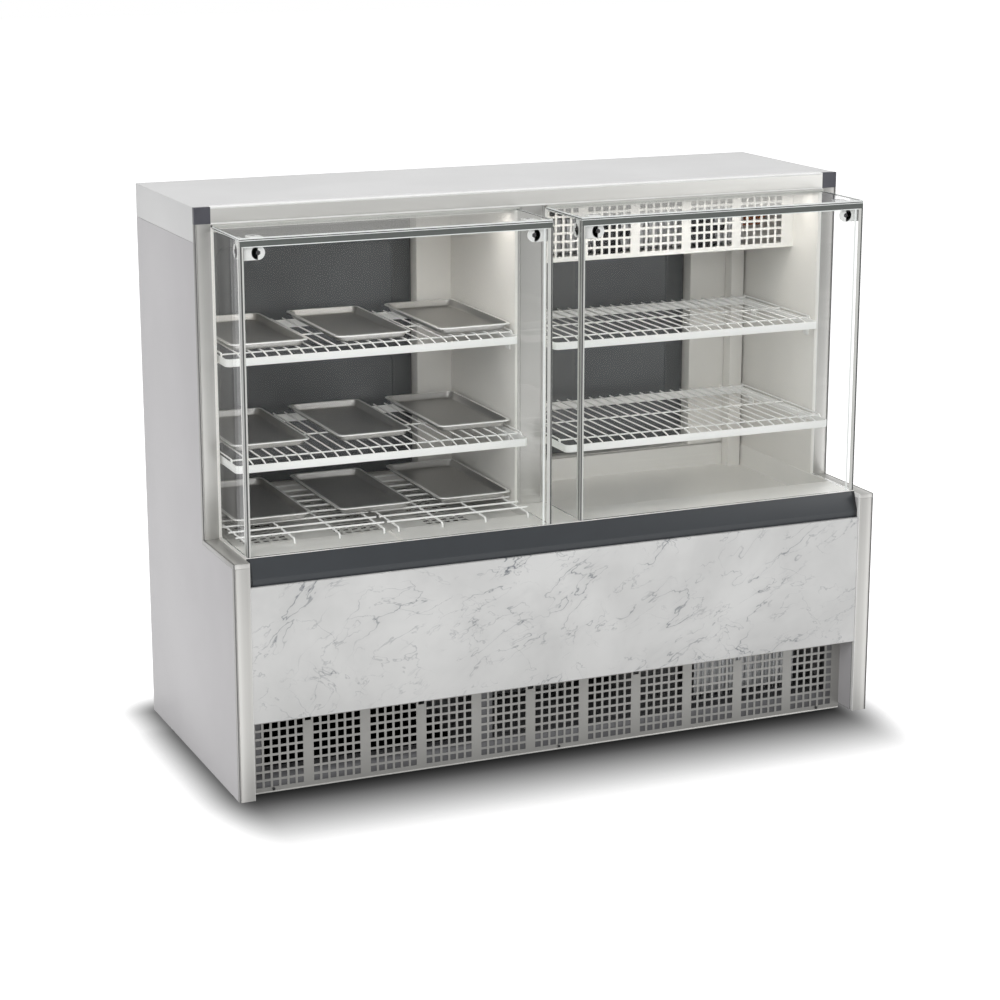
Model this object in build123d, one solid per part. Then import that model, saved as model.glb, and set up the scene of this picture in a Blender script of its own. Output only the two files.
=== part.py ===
"""Twin display case for a bakery counter: a heated bay on the left, a chilled bay on the right.

Lengths are in mm. While it is drawn, x runs from the left outer face, y from the front face
of the lower sides towards the back, and z from the lower edge of the sides. Each piece is
moved at the end, so that the origin lies on the floor at the middle of the plan.
"""
from build123d import *
import math
import os

# Overall body
WIDTH = 1750.0
DEPTH = 750.0
BODY_HEIGHT = 1410.0
FOOT_HEIGHT = 55.0

# Sides and their edge profiles
SIDE_THICK = 41.0
SIDE_LINER = 11.0
LEDGE_HEIGHT = 597.0
STEP_BACK = 240.0
TRIM_DEPTH = 12.0
SKIRT_HEIGHT = 85.0

# Roof and its front rail
ROOF_THICK = 46.0
RAIL_HEIGHT = 42.0
RAIL_DEPTH = 30.0
RAIL_WALL = 2.0
CAP_HEIGHT = 40.0
PLUG_LENGTH = 14.0
PLUG_FIT = 0.3
CEILING_SHEET = 3.0

# Divider between the bays
DIVIDER_CORE = 72.0
DIVIDER_LINER = 10.5

# Glass
GLASS = 8.0
GLASS_SETBACK = 28.6
GLASS_SIDE_GAP = 3.0
GLASS_SEAL = 4.0
GLASS_TUCK = 12.0
CONNECTOR_RADIUS = 17.0
CONNECTOR_REACH = 39.0
CONNECTOR_DROP = 29.0
CONNECTOR_PLATE = 5.0
CONNECTOR_BOSS = 9.0
CONNECTOR_BOSS_RISE = 2.5

# Sill, tubs and cabinet floor
SILL_RISE = 5.0
SILL_SHEET = 2.0
SILL_DEPTH = 112.0
SILL_JOINT = 12.0
TUB_WALL = 2.0
TUB_DEPTH = 62.0
FLOOR_THICK = 45.0
UPSTAND_FRONT = 30.0

# Rear wall, door openings and doors
FRAME_THICK = 45.0
DOOR_THICK = 36.0
DOOR_OVERLAP = 24.0
OPENING_WIDTH = 582.0
OPENING_WARM_INSET = 97.0
OPENING_COLD_INSET = 44.5
OPENING_DROP = 74.0
OPENING_RISE = 3.0
GASKET_WIDTH = 14.0
GASKET_THICK = 3.7
SEAL_GAP = 0.3
LINER_PROUD = 4.0
LINER_GAP = 5.0
RIB_INSET = 45.0
RIB_WIDTH = 14.0
RIB_HEIGHT = 3.0
PIVOT_INSET = 6.0
PIVOT_FROM_BACK = 8.0
PIN_RADIUS = 4.0
PIN_LENGTH = 14.0
PIN_FIT = 0.05
HINGE_PLATE = 3.0
HINGE_GAP = 0.3
GRIP_WIDTH = 46.0
GRIP_HEIGHT = 170.0
GRIP_DEPTH = 24.0
GRIP_FROM_EDGE = 14.0
HINGE_HALF = 13.0
HINGE_LEAF = 24.0

# Wire shelves
BAR_HEIGHT = 19.0
BAR_THICK = 3.0
SHELF_GAP = 8.0
WARM_SHELF_BACK_GAP = 25.0
COLD_SHELF_BACK_GAP = 47.0
SHELF_RISE = 9.0
SHELF_SLOPE = 40.0
SHELF_WIRE = 4.0
SHELF_PITCH = 31.0
SHELF_CORNER = 14.0
WARM_UPPER_RISE = 447.0
WARM_UPPER_FRONT = 196.0
WARM_LOWER_RISE = 198.0
WARM_LOWER_FRONT = 136.0
COLD_UPPER_RISE = 420.0
COLD_UPPER_FRONT = 208.0
COLD_LOWER_RISE = 168.0
COLD_LOWER_FRONT = 140.0
SHELF_BEND = 10.0
SHELF_WELD = 0.6
CLIP_LENGTH = 26.0
CLIP_LEG = 28.0
CLIP_REACH = 14.0
CLIP_FRONT = 30.0
CLIP_BACK = 60.0
CLIP_SHEET = 2.5

# Heated deck
RACK_RISE = 20.0
RACK_WIRE = 5.0
RACK_PITCH = 56.0
RACK_CROSS_PITCH = 117.0
RACK_FRONT = 150.0
RACK_NOSE = 106.0
RACK_GAP = 4.0
RACK_END = 15.0
RACK_WELD = 0.8
COVER_DROP = 19.0
COVER_SHEET = 1.5
HEATER_RADIUS = 4.0

# Light bars
LIGHT_DEPTH = 22.0
LIGHT_HEIGHT = 16.0
LIGHT_WALL = 2.0
LIGHT_GAP = 2.0
LIGHT_END = 12.0

# Pans
PAN_WIDTH = 198.0
PAN_LENGTH = 398.0
PAN_DEPTH = 18.0
PAN_WALL = 1.2
PAN_LEAN = 6.0
PAN_RIM = 7.0
PAN_PITCH = 269.0
PAN_SHIFT = 12.0
PAN_BACK_GAP = 2.0

# Front panel, bumper and grille
PANEL_BOTTOM = 194.5
PANEL_DROP = 68.0
PANEL_THICK = 12.0
PANEL_INSET = 2.0
BUMPER_FACE = 11.5
BUMPER_STRAIGHT = 18.0
BUMPER_END = 8.0
BATTEN = 26.0
BATTEN_GAP = 10.0
GRILLE_FACE = 73.0
GRILLE_SHEET = 1.5
GRILLE_BOTTOM = -12.0
HOLE = 15.5
HOLE_PITCH = 21.4
HOLE_COLUMNS = 6
GRILLE_ROWS = 9
GRILLE_FIRST_ROW = 1.6
GROUP_PITCH = 149.5
GRILLE_GROUPS = 11
SLOT_HEIGHT = 8.5
SLOT_WIDTH = 16.0
SLOT_LEVEL = 160.5

# Evaporator behind its perforated cover
EVAP_FACE = 370.0
EVAP_HEIGHT = 164.0
EVAP_DEPTH = 150.0
EVAP_SHEET = 1.5
EVAP_ROWS = 6
EVAP_GROUPS = 5
EVAP_MARGIN = 21.0
EVAP_FIRST_ROW = 11.5
COIL_LENGTH = 560.0
COIL_HEIGHT = 100.0
COIL_DEPTH = 70.0
FIN_PITCH = 14.0
FAN_RADIUS = 50.0
FAN_HUB = 13.0
FAN_SPACING = 280.0
FAN_SHAFT = 3.0
FAN_ENTRY = 4.0
FAN_REST = 3.0
FAN_CLEAR = 6.0
FAN_BLADES = 5
BLADE_PITCH = 24.0
BLADE_CHORD = 0.62
FAN_FROM_COVER = 8.0
FAN_DEPTH = 22.0
MOTOR_FROM_COVER = 36.0
MOTOR_RADIUS = 20.0
MOTOR_LENGTH = 34.0
SHAFT_FIT = 0.05

# Drain
DRAIN_RADIUS = 12.0
DRAIN_FROM_SIDE = 40.0
DRAIN_FROM_BACK = 90.0
TRAY_HEIGHT = 60.0
TRAY_WALL = 2.0
TRAY_WIDTH = 260.0
TRAY_OFFSET = 190.0

# Base frame and feet
TUBE = 40.0
TUBE_WALL = 2.0
FOOT_FRONT = 190.0
FOOT_PAD_RADIUS = 21.0
FOOT_PAD_HEIGHT = 12.0
STUD_RADIUS = 6.0
STUD_FIT = 0.1
LOCK_RING = 8.0

# Condensing unit
CROSS_RAIL = 655.0
UNIT_FROM_RIGHT = 649.0
UNIT_PLATE = 3.0
COMPRESSOR_FROM_RIGHT = 519.0
COMPRESSOR_FROM_BACK = 170.0
COMPRESSOR_RADIUS = 82.0
COMPRESSOR_HEIGHT = 190.0
COMPRESSOR_LIFT = 16.0
COMPRESSOR_PLATE = 4.0
CONDENSER_FROM_RIGHT = 399.0
CONDENSER_FRONT = 150.0
CONDENSER_FINS = 12.0
CONDENSER_WIDTH = 300.0
CONDENSER_HEIGHT = 260.0
CONDENSER_DEPTH = 60.0
BIG_FAN_RADIUS = 108.0
BIG_FAN_DEPTH = 26.0
BIG_FAN_HUB = 22.0
BIG_MOTOR_RADIUS = 34.0
BIG_MOTOR_LENGTH = 60.0
SHROUD_DEPTH = 32.0
SHROUD_SHEET = 2.0

# Pipes and duct
DUCT = 38.0
DUCT_WALL = 1.5
DUCT_GAP = 3.0
DUCT_RISE = 38.0
PIPE_APART = 8.0
SUCTION_LEVEL = 66.0
SUCTION_RADIUS = 5.0
LIQUID_RADIUS = 3.0

# Rear controls
CONTROL_FROM_BACK = 22.0
CONTROL_SHEET = 2.0
CONTROL_BOTTOM = 500.0
CONTROL_GAP = 4.0
THERMOSTAT_SIZE = 40.0
SPINDLE_RADIUS = 3.0
SPINDLE_ROOM = 0.5
SPINDLE_LENGTH = 10.0
KNOB_X = 382.0
KNOB_RADIUS = 19.0
KNOB_HEIGHT = 17.0
KNOB_GAP = 0.6
KNOB_GRIP = 10.0
KNOB_SKIRT = 7.0
ROCKER_FROM_KNOB = 100.0
ROCKER_WIDTH = 14.0
ROCKER_HEIGHT = 25.0
ROCKER_BODY = 2.0
ROCKER_FLANGE = 3.0
ROCKER_FACE = 2.0
ROCKER_SUNK = 3.0
ROCKER_PIN = 2.0
ROCKER_ROOM = 0.6
ROCKER_CREST = 1.6
ROCKER_THROW = 20.0
CONTROLLER_FROM_RIGHT = 312.0
CONTROLLER_WIDTH = 78.0
CONTROLLER_HEIGHT = 34.0
CONTROLLER_LIP = 3.5
CONTROLLER_BEZEL = 5.0
WINDOW_WIDTH = 52.0
WINDOW_HEIGHT = 14.0
BUTTONS = 3
BUTTON_RADIUS = 4.5
BUTTON_TRAVEL = 1.2
BUTTON_PITCH = 16.0
BUTTON_DROP = 9.0
BUTTON_PROUD = 2.0
BUTTON_LENGTH = 9.0
BUTTON_FIT = 0.15
BOX_FROM_POST = 60.0
BOX_WIDTH = 240.0
BOX_DEPTH = 120.0
BOX_HEIGHT = 160.0

# Rear service panel and its gland
SERVICE_SHEET = 1.5
SERVICE_FROM_BACK = 15.0
LOUVRE_COLUMNS = 4
LOUVRE_ROWS = 12
LOUVRE_FIRST = 90.0
LOUVRE_PITCH = 30.0
LOUVRE_HEIGHT = 9.0
GLAND_RADIUS = 8.0
GLAND_BORE = 4.5
GLAND_FROM_SIDE = 520.0
GLAND_RISE = 14.0

# Places worked out from the sizes above
WARM_LEFT = SIDE_THICK + SIDE_LINER
DIVIDER_LEFT = WIDTH / 2 - DIVIDER_CORE / 2
DIVIDER_RIGHT = WIDTH / 2 + DIVIDER_CORE / 2
WARM_RIGHT = DIVIDER_LEFT - DIVIDER_LINER
COLD_LEFT = DIVIDER_RIGHT + DIVIDER_LINER
COLD_RIGHT = WIDTH - SIDE_THICK - SIDE_LINER
INNER_LEFT = SIDE_THICK
INNER_RIGHT = WIDTH - SIDE_THICK
CEILING = BODY_HEIGHT - ROOF_THICK
RAIL_BOTTOM = BODY_HEIGHT - RAIL_HEIGHT
GLASS_TOP = RAIL_BOTTOM - GLASS_SEAL
DOOR_FACE = DEPTH - DOOR_THICK
FRAME_BACK = DOOR_FACE - GASKET_THICK - SEAL_GAP
FRAME_FACE = FRAME_BACK - FRAME_THICK
SILL_TOP = LEDGE_HEIGHT + SILL_RISE
OPENING_WARM_LEFT = WARM_LEFT + OPENING_WARM_INSET
OPENING_COLD_LEFT = COLD_LEFT + OPENING_COLD_INSET
OPENING_TOP = CEILING - OPENING_DROP
OPENING_BOTTOM = SILL_TOP + OPENING_RISE
WARM_SHELF_BACK = FRAME_FACE - WARM_SHELF_BACK_GAP
COLD_SHELF_BACK = FRAME_FACE - COLD_SHELF_BACK_GAP
WARM_UPPER_TOP = SILL_TOP + WARM_UPPER_RISE
WARM_LOWER_TOP = SILL_TOP + WARM_LOWER_RISE
COLD_UPPER_TOP = SILL_TOP + COLD_UPPER_RISE
COLD_LOWER_TOP = SILL_TOP + COLD_LOWER_RISE
RACK_TOP = SILL_TOP + RACK_RISE
COVER_TOP = SILL_TOP - COVER_DROP
PAN_FRONT = WARM_SHELF_BACK - PAN_BACK_GAP - PAN_LENGTH
PANEL_TOP = SILL_TOP - PANEL_DROP
EVAP_BOTTOM = CEILING - EVAP_HEIGHT
UNIT_LEFT = INNER_RIGHT - UNIT_FROM_RIGHT
COMPRESSOR_X = INNER_RIGHT - COMPRESSOR_FROM_RIGHT
COMPRESSOR_Y = FRAME_BACK - COMPRESSOR_FROM_BACK
CONDENSER_LEFT = INNER_RIGHT - CONDENSER_FROM_RIGHT
CONTROL_FACE = DEPTH - CONTROL_FROM_BACK
CONTROLLER_X = INNER_RIGHT - CONTROLLER_FROM_RIGHT
SERVICE_FACE = DEPTH - SERVICE_FROM_BACK
TUB_FLOOR = SILL_TOP - SILL_SHEET - TUB_DEPTH
TUB_FRONT = UPSTAND_FRONT + SILL_DEPTH
FLOOR_BOTTOM = TUB_FLOOR - FLOOR_THICK
RAIL_FACE = GRILLE_FACE + GRILLE_SHEET
DOOR_BOTTOM = OPENING_BOTTOM - DOOR_OVERLAP
DOOR_TOP = OPENING_TOP + DOOR_OVERLAP
CONTROL_TOP = DOOR_BOTTOM - HINGE_GAP - HINGE_LEAF - CONTROL_GAP
OPENINGS = {"warm": OPENING_WARM_LEFT, "cold": OPENING_COLD_LEFT}
BAYS = {"warm": (WARM_LEFT, WARM_RIGHT), "cold": (COLD_LEFT, COLD_RIGHT)}
SHELVES = {
    "warm_upper": ("warm", WARM_UPPER_FRONT, WARM_SHELF_BACK, WARM_UPPER_TOP),
    "warm_lower": ("warm", WARM_LOWER_FRONT, WARM_SHELF_BACK, WARM_LOWER_TOP),
    "cold_upper": ("cold", COLD_UPPER_FRONT, COLD_SHELF_BACK, COLD_UPPER_TOP),
    "cold_lower": ("cold", COLD_LOWER_FRONT, COLD_SHELF_BACK, COLD_LOWER_TOP),
}


def slab(x0, x1, y0, y1, z0, z1):
    """A plain block between two corners."""
    block = Box(x1 - x0, y1 - y0, z1 - z0)
    return Pos((x0 + x1) / 2, (y0 + y1) / 2, (z0 + z1) / 2) * block


def rod(start, end, radius):
    """A round rod from one point to another."""
    axis = Vector(*end) - Vector(*start)
    disc = Plane(origin=start, z_dir=axis) * Circle(radius)
    return extrude(disc, amount=axis.length, dir=axis)


def bent_rod(points, radii, radius):
    """A round rod along straight runs joined by arcs."""
    path = FilletPolyline(*points, radius=radii)
    start = Plane(origin=path @ 0, z_dir=path % 0)
    return sweep(start * Circle(radius), path=path)


def side_profile(points, x0, x1):
    """A plate with the given outline in y and z, from x0 to x1."""
    outline = Plane.YZ * make_face(Polyline(*points, close=True))
    return Pos(x0, 0, 0) * extrude(outline, amount=x1 - x0)


def merged(pieces):
    """All pieces as one solid."""
    return pieces[0].fuse(*pieces[1:]) if len(pieces) > 1 else pieces[0]


def group(pieces):
    """Separate solids kept in one node."""
    return Compound(children=list(pieces))


def flip(piece):
    """The same piece on the other side of the middle of the width."""
    return mirror(piece, about=Plane(origin=(WIDTH / 2, 0, 0), z_dir=(1, 0, 0)))


def tube_between(x0, x1, y0, y1, z0, z1, wall, axis):
    """A rectangular tube, open at both ends along one axis."""
    grow = {"x": (0, wall, wall), "y": (wall, 0, wall), "z": (wall, wall, 0)}[axis]
    outer = slab(x0, x1, y0, y1, z0, z1)
    inner = slab(x0 + grow[0], x1 - grow[0], y0 + grow[1], y1 - grow[1], z0 + grow[2], z1 - grow[2])
    return outer - inner


# Sides, edge profiles and roof

def side_panel():
    top = BODY_HEIGHT - SKIRT_HEIGHT
    step = STEP_BACK + TRIM_DEPTH
    ledge = LEDGE_HEIGHT - TRIM_DEPTH
    outline = [(TRIM_DEPTH, 0), (DEPTH, 0), (DEPTH, top), (step, top), (step, ledge), (TRIM_DEPTH, ledge)]
    return side_profile(outline, 0, SIDE_THICK)


def side_trims():
    """Three bars of edge profile: below the ledge, along it and above it."""
    step = STEP_BACK + TRIM_DEPTH
    under = LEDGE_HEIGHT - TRIM_DEPTH
    lower = slab(0, SIDE_THICK, 0, TRIM_DEPTH, 0, under)
    ledge = slab(0, SIDE_THICK, 0, step, under, LEDGE_HEIGHT)
    upper = slab(0, SIDE_THICK, STEP_BACK, step, LEDGE_HEIGHT, BODY_HEIGHT - CAP_HEIGHT)
    return [lower, ledge, upper]


def side_liner():
    return slab(SIDE_THICK, WARM_LEFT, STEP_BACK, FRAME_FACE, TUB_FLOOR, CEILING - CEILING_SHEET)


def corner_cap():
    front = slab(0, SIDE_THICK, STEP_BACK, STEP_BACK + TRIM_DEPTH, BODY_HEIGHT - CAP_HEIGHT, BODY_HEIGHT)
    inset = RAIL_WALL + PLUG_FIT
    plug = slab(SIDE_THICK, SIDE_THICK + PLUG_LENGTH, STEP_BACK + inset, STEP_BACK + RAIL_DEPTH - inset,
                RAIL_BOTTOM + inset, BODY_HEIGHT - inset)
    root = slab(SIDE_THICK / 2, SIDE_THICK, STEP_BACK + inset, STEP_BACK + TRIM_DEPTH,
                RAIL_BOTTOM + inset, BODY_HEIGHT - inset)
    return front + (plug + root)


def top_front_rail():
    return tube_between(INNER_LEFT, INNER_RIGHT, STEP_BACK, STEP_BACK + RAIL_DEPTH,
                        RAIL_BOTTOM, BODY_HEIGHT, RAIL_WALL, "x")


def top_cover():
    skirt = BODY_HEIGHT - SKIRT_HEIGHT
    step = STEP_BACK + TRIM_DEPTH
    roof = slab(INNER_LEFT, INNER_RIGHT, STEP_BACK + RAIL_DEPTH, DEPTH, CEILING, BODY_HEIGHT)
    left = slab(0, INNER_LEFT, step, DEPTH, skirt, BODY_HEIGHT)
    right = slab(INNER_RIGHT, WIDTH, step, DEPTH, skirt, BODY_HEIGHT)
    return merged([roof, left, right])


def ceiling_liner(bay):
    left, right = BAYS[bay]
    outer_left = INNER_LEFT if bay == "warm" else left - DIVIDER_LINER
    outer_right = INNER_RIGHT if bay == "cold" else right + DIVIDER_LINER
    return slab(outer_left, outer_right, STEP_BACK + RAIL_DEPTH, FRAME_FACE, CEILING - CEILING_SHEET, CEILING)


# Divider

def centre_divider():
    return slab(DIVIDER_LEFT, DIVIDER_RIGHT, STEP_BACK + TRIM_DEPTH, FRAME_FACE, TUB_FLOOR, CEILING)


def divider_trim():
    return slab(DIVIDER_LEFT, DIVIDER_RIGHT, STEP_BACK, STEP_BACK + TRIM_DEPTH, SILL_TOP, RAIL_BOTTOM)


def divider_liner(bay):
    left = WARM_RIGHT if bay == "warm" else DIVIDER_RIGHT
    return slab(left, left + DIVIDER_LINER, STEP_BACK, FRAME_FACE, TUB_FLOOR, CEILING - CEILING_SHEET)


# Rear wall

def rear_wall():
    """Sill, head and three stiles round the two door openings."""
    sill = slab(INNER_LEFT, INNER_RIGHT, FRAME_FACE, FRAME_BACK, TUB_FLOOR, OPENING_BOTTOM)
    head = slab(INNER_LEFT, INNER_RIGHT, FRAME_FACE, FRAME_BACK, OPENING_TOP, CEILING)
    edges = [INNER_LEFT, OPENING_WARM_LEFT, OPENING_WARM_LEFT + OPENING_WIDTH,
             OPENING_COLD_LEFT, OPENING_COLD_LEFT + OPENING_WIDTH, INNER_RIGHT]
    stiles = []
    for number in range(0, len(edges), 2):
        stiles.append(slab(edges[number], edges[number + 1], FRAME_FACE, FRAME_BACK, OPENING_BOTTOM, OPENING_TOP))
    return group([sill, head] + stiles)


# Doors

def door_span(bay):
    left = OPENINGS[bay]
    return left - DOOR_OVERLAP, left + OPENING_WIDTH + DOOR_OVERLAP


def door_pivot(bay):
    """The hinge axis is on the outer side of each door."""
    left, right = door_span(bay)
    x = left + PIVOT_INSET if bay == "warm" else right - PIVOT_INSET
    return x, DEPTH - PIVOT_FROM_BACK


def grip_span(bay):
    left, right = door_span(bay)
    if bay == "warm":
        return right - GRIP_FROM_EDGE - GRIP_WIDTH, right - GRIP_FROM_EDGE
    return left + GRIP_FROM_EDGE, left + GRIP_FROM_EDGE + GRIP_WIDTH


def door_shell(bay):
    left, right = door_span(bay)
    middle = (DOOR_BOTTOM + DOOR_TOP) / 2
    shell = slab(left, right, DOOR_FACE, DEPTH, DOOR_BOTTOM, DOOR_TOP)
    grip_left, grip_right = grip_span(bay)
    shell -= slab(grip_left, grip_right, DEPTH - GRIP_DEPTH, DEPTH + 1,
                  middle - GRIP_HEIGHT / 2, middle + GRIP_HEIGHT / 2)
    x, y = door_pivot(bay)
    hole = PIN_RADIUS + PIN_FIT
    shell -= rod((x, y, DOOR_TOP - PIN_LENGTH), (x, y, DOOR_TOP + 1), hole)
    shell -= rod((x, y, DOOR_BOTTOM - 1), (x, y, DOOR_BOTTOM + PIN_LENGTH), hole)
    return shell


def door_liner(bay):
    left = OPENINGS[bay] + LINER_GAP
    right = OPENINGS[bay] + OPENING_WIDTH - LINER_GAP
    face = FRAME_BACK - LINER_PROUD
    bottom = OPENING_BOTTOM + LINER_GAP
    top = OPENING_TOP - LINER_GAP
    sheet = slab(left, right, face, DOOR_FACE, bottom, top)
    rib_outer = slab(left + RIB_INSET, right - RIB_INSET, face - RIB_HEIGHT, face, bottom + RIB_INSET, top - RIB_INSET)
    inset = RIB_INSET + RIB_WIDTH
    rib_inner = slab(left + inset, right - inset, face - RIB_HEIGHT, face, bottom + inset, top - inset)
    return sheet + (rib_outer - rib_inner)


def door_gasket(bay):
    left, right = door_span(bay)
    inset = PIVOT_INSET + PIN_FIT
    inner_inset = inset + GASKET_WIDTH
    face = DOOR_FACE - GASKET_THICK
    outer = slab(left + inset, right - inset, face, DOOR_FACE, DOOR_BOTTOM + inset, DOOR_TOP - inset)
    inner = slab(left + inner_inset, right - inner_inset, face, DOOR_FACE,
                 DOOR_BOTTOM + inner_inset, DOOR_TOP - inner_inset)
    return outer - inner


def hinge_bracket(bay, upper):
    """A plate screwed to the rear wall, with an arm and a pin that enters the door."""
    x, y = door_pivot(bay)
    edge = DOOR_TOP if upper else DOOR_BOTTOM
    way = 1 if upper else -1
    near = edge + way * HINGE_GAP
    far = near + way * HINGE_PLATE
    tip = near + way * HINGE_LEAF
    half = HINGE_HALF
    arm = slab(x - half, x + half, FRAME_BACK, DEPTH, min(near, far), max(near, far))
    plate = slab(x - half, x + half, FRAME_BACK, FRAME_BACK + HINGE_PLATE, min(near, tip), max(near, tip))
    pin = rod((x, y, far), (x, y, edge - way * (PIN_LENGTH - 1)), PIN_RADIUS)
    return merged([arm, plate, pin])


def hinge_brackets():
    return group([hinge_bracket(bay, upper) for bay in BAYS for upper in (True, False)])


# Glass boxes

def glass_span(bay):
    if bay == "warm":
        return INNER_LEFT + GLASS_SIDE_GAP, WARM_RIGHT + GLASS
    return COLD_LEFT - GLASS, INNER_RIGHT - GLASS_SIDE_GAP


def glass_panes(bay):
    """Front, top and two side panes of one glass box."""
    left, right = glass_span(bay)
    under = GLASS_TOP - GLASS
    inner = GLASS_SETBACK + GLASS
    front = slab(left, right, GLASS_SETBACK, inner, SILL_TOP, under)
    top = slab(left, right, GLASS_SETBACK, STEP_BACK, under, GLASS_TOP)
    left_side = slab(left, left + GLASS, inner, STEP_BACK, SILL_TOP, under)
    right_side = slab(right - GLASS, right, inner, STEP_BACK, SILL_TOP, under)
    return [front, top, left_side, right_side]


def glass_seal(bay):
    """An angle of extruded seal that joins the top pane to the rail."""
    left, right = glass_span(bay)
    lip = slab(left, right, STEP_BACK - GLASS_TUCK, STEP_BACK + GLASS_TUCK, GLASS_TOP, RAIL_BOTTOM)
    foot = slab(left, right, STEP_BACK, STEP_BACK + GLASS_TUCK, GLASS_TOP - GLASS, GLASS_TOP)
    clear = slab(DIVIDER_LEFT - DIVIDER_LINER, DIVIDER_RIGHT + DIVIDER_LINER, STEP_BACK, STEP_BACK + GLASS_TUCK,
                 GLASS_TOP - GLASS, RAIL_BOTTOM)
    ends = slab(0, WARM_LEFT, STEP_BACK, STEP_BACK + GLASS_TUCK, GLASS_TOP - GLASS, RAIL_BOTTOM)
    return lip + foot - clear - ends - flip(ends)


def glass_connector(x, way):
    """Three plates with round ends inside an upper corner, each with a screw boss."""
    y = GLASS_SETBACK + GLASS
    z = GLASS_TOP - GLASS
    cx = x + way * CONNECTOR_REACH
    cy = y + CONNECTOR_REACH
    cz = z - CONNECTOR_DROP
    half = CONNECTOR_RADIUS
    thick = CONNECTOR_PLATE
    deep = CONNECTOR_PLATE + CONNECTOR_BOSS_RISE
    pieces = [
        slab(min(x, cx), max(x, cx), y, y + thick, cz - half, z),
        slab(min(x, x + way * thick), max(x, x + way * thick), y, cy, cz - half, z),
        slab(cx - half, cx + half, y, cy, z - thick, z),
        rod((cx, y, cz), (cx, y + thick, cz), half),
        rod((x, cy, cz), (x + way * thick, cy, cz), half),
        rod((cx, cy, z - thick), (cx, cy, z), half),
        rod((cx, y, cz), (cx, y + deep, cz), CONNECTOR_BOSS),
        rod((x, cy, cz), (x + way * deep, cy, cz), CONNECTOR_BOSS),
        rod((cx, cy, z - deep), (cx, cy, z), CONNECTOR_BOSS),
    ]
    return merged(pieces)


def glass_connectors():
    corners = []
    for bay in BAYS:
        left, right = glass_span(bay)
        corners.append(glass_connector(left + GLASS, 1))
        corners.append(glass_connector(right - GLASS, -1))
    return group(corners)


# Cabinet floor, upstand, tubs and sill

def cabinet_floor():
    floor = slab(INNER_LEFT, INNER_RIGHT, UPSTAND_FRONT, FRAME_BACK, FLOOR_BOTTOM, TUB_FLOOR)
    x, y = duct_centre()
    floor -= slab(x - DUCT / 2, x + DUCT / 2, y - DUCT / 2, y + DUCT / 2, FLOOR_BOTTOM - 1, TUB_FLOOR + 1)
    floor -= rod((drain_x(), drain_y(), FLOOR_BOTTOM - 1), (drain_x(), drain_y(), TUB_FLOOR + 1), DRAIN_RADIUS)
    return floor


def front_upstand():
    top = SILL_TOP - SILL_SHEET
    bar = slab(INNER_LEFT, INNER_RIGHT, UPSTAND_FRONT, TUB_FRONT, TUB_FLOOR, top)
    left = slab(INNER_LEFT, WARM_LEFT, TUB_FRONT, STEP_BACK, TUB_FLOOR, top)
    middle = slab(WARM_RIGHT, COLD_LEFT, TUB_FRONT, STEP_BACK, TUB_FLOOR, top)
    heel = slab(DIVIDER_LEFT, DIVIDER_RIGHT, STEP_BACK, STEP_BACK + TRIM_DEPTH, TUB_FLOOR, top)
    return merged([bar, left, middle, heel, flip(left)])


def sill_plate(x0, x1, wing_left, wing_right):
    """A folded stainless plate on the upstand, with wings under the side panes."""
    z0 = SILL_TOP - SILL_SHEET
    pieces = [slab(x0, x1, UPSTAND_FRONT - SILL_SHEET, TUB_FRONT, z0, SILL_TOP)]
    if wing_left:
        pieces.append(slab(x0, x0 + wing_left, TUB_FRONT, STEP_BACK, z0, SILL_TOP))
    if wing_right:
        pieces.append(slab(x1 - wing_right, x1, TUB_FRONT, STEP_BACK, z0, SILL_TOP))
    return merged(pieces)


def sill_plates():
    middle = (WARM_LEFT + WARM_RIGHT) / 2
    wing = SIDE_LINER
    gap = SILL_JOINT / 2
    under = SILL_TOP - SILL_SHEET
    left = sill_plate(INNER_LEFT, middle - gap, wing, 0)
    right = sill_plate(middle + gap, WARM_RIGHT, 0, 0)
    centre = slab(WARM_RIGHT, COLD_LEFT, UPSTAND_FRONT - SILL_SHEET, STEP_BACK, under, SILL_TOP)
    centre += slab(DIVIDER_LEFT, DIVIDER_RIGHT, STEP_BACK, STEP_BACK + TRIM_DEPTH, under, SILL_TOP)
    cold = sill_plate(COLD_LEFT, INNER_RIGHT, 0, wing)
    return group([left, right, centre, cold])


def drain_x():
    return COLD_LEFT + DRAIN_FROM_SIDE


def drain_y():
    return FRAME_FACE - DRAIN_FROM_BACK


def tub(bay):
    left, right = BAYS[bay]
    top = SILL_TOP - SILL_SHEET
    outer = slab(left, right, TUB_FRONT, FRAME_FACE, TUB_FLOOR, top)
    inner = slab(left + TUB_WALL, right - TUB_WALL, TUB_FRONT + TUB_WALL, FRAME_FACE - TUB_WALL,
                 TUB_FLOOR + TUB_WALL, top + 1)
    shell = outer - inner
    if bay == "cold":
        shell -= rod((drain_x(), drain_y(), TUB_FLOOR - 1), (drain_x(), drain_y(), TUB_FLOOR + 5), DRAIN_RADIUS)
        x, y = duct_centre()
        shell -= slab(x - DUCT / 2, x + DUCT / 2, y - DUCT / 2, y + DUCT / 2, TUB_FLOOR - 1, TUB_FLOOR + TUB_WALL + 1)
    return shell


# Perforated sheets

def hole_groups(first_x, first_z, groups, rows):
    """Square holes in groups of columns, as sketch rectangles in x and z."""
    holes = []
    for number in range(groups):
        for column in range(HOLE_COLUMNS):
            x = first_x + number * GROUP_PITCH + column * HOLE_PITCH + HOLE / 2
            for row in range(rows):
                z = first_z + row * HOLE_PITCH + HOLE / 2
                holes.append((x, z, HOLE, HOLE))
    return holes


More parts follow.
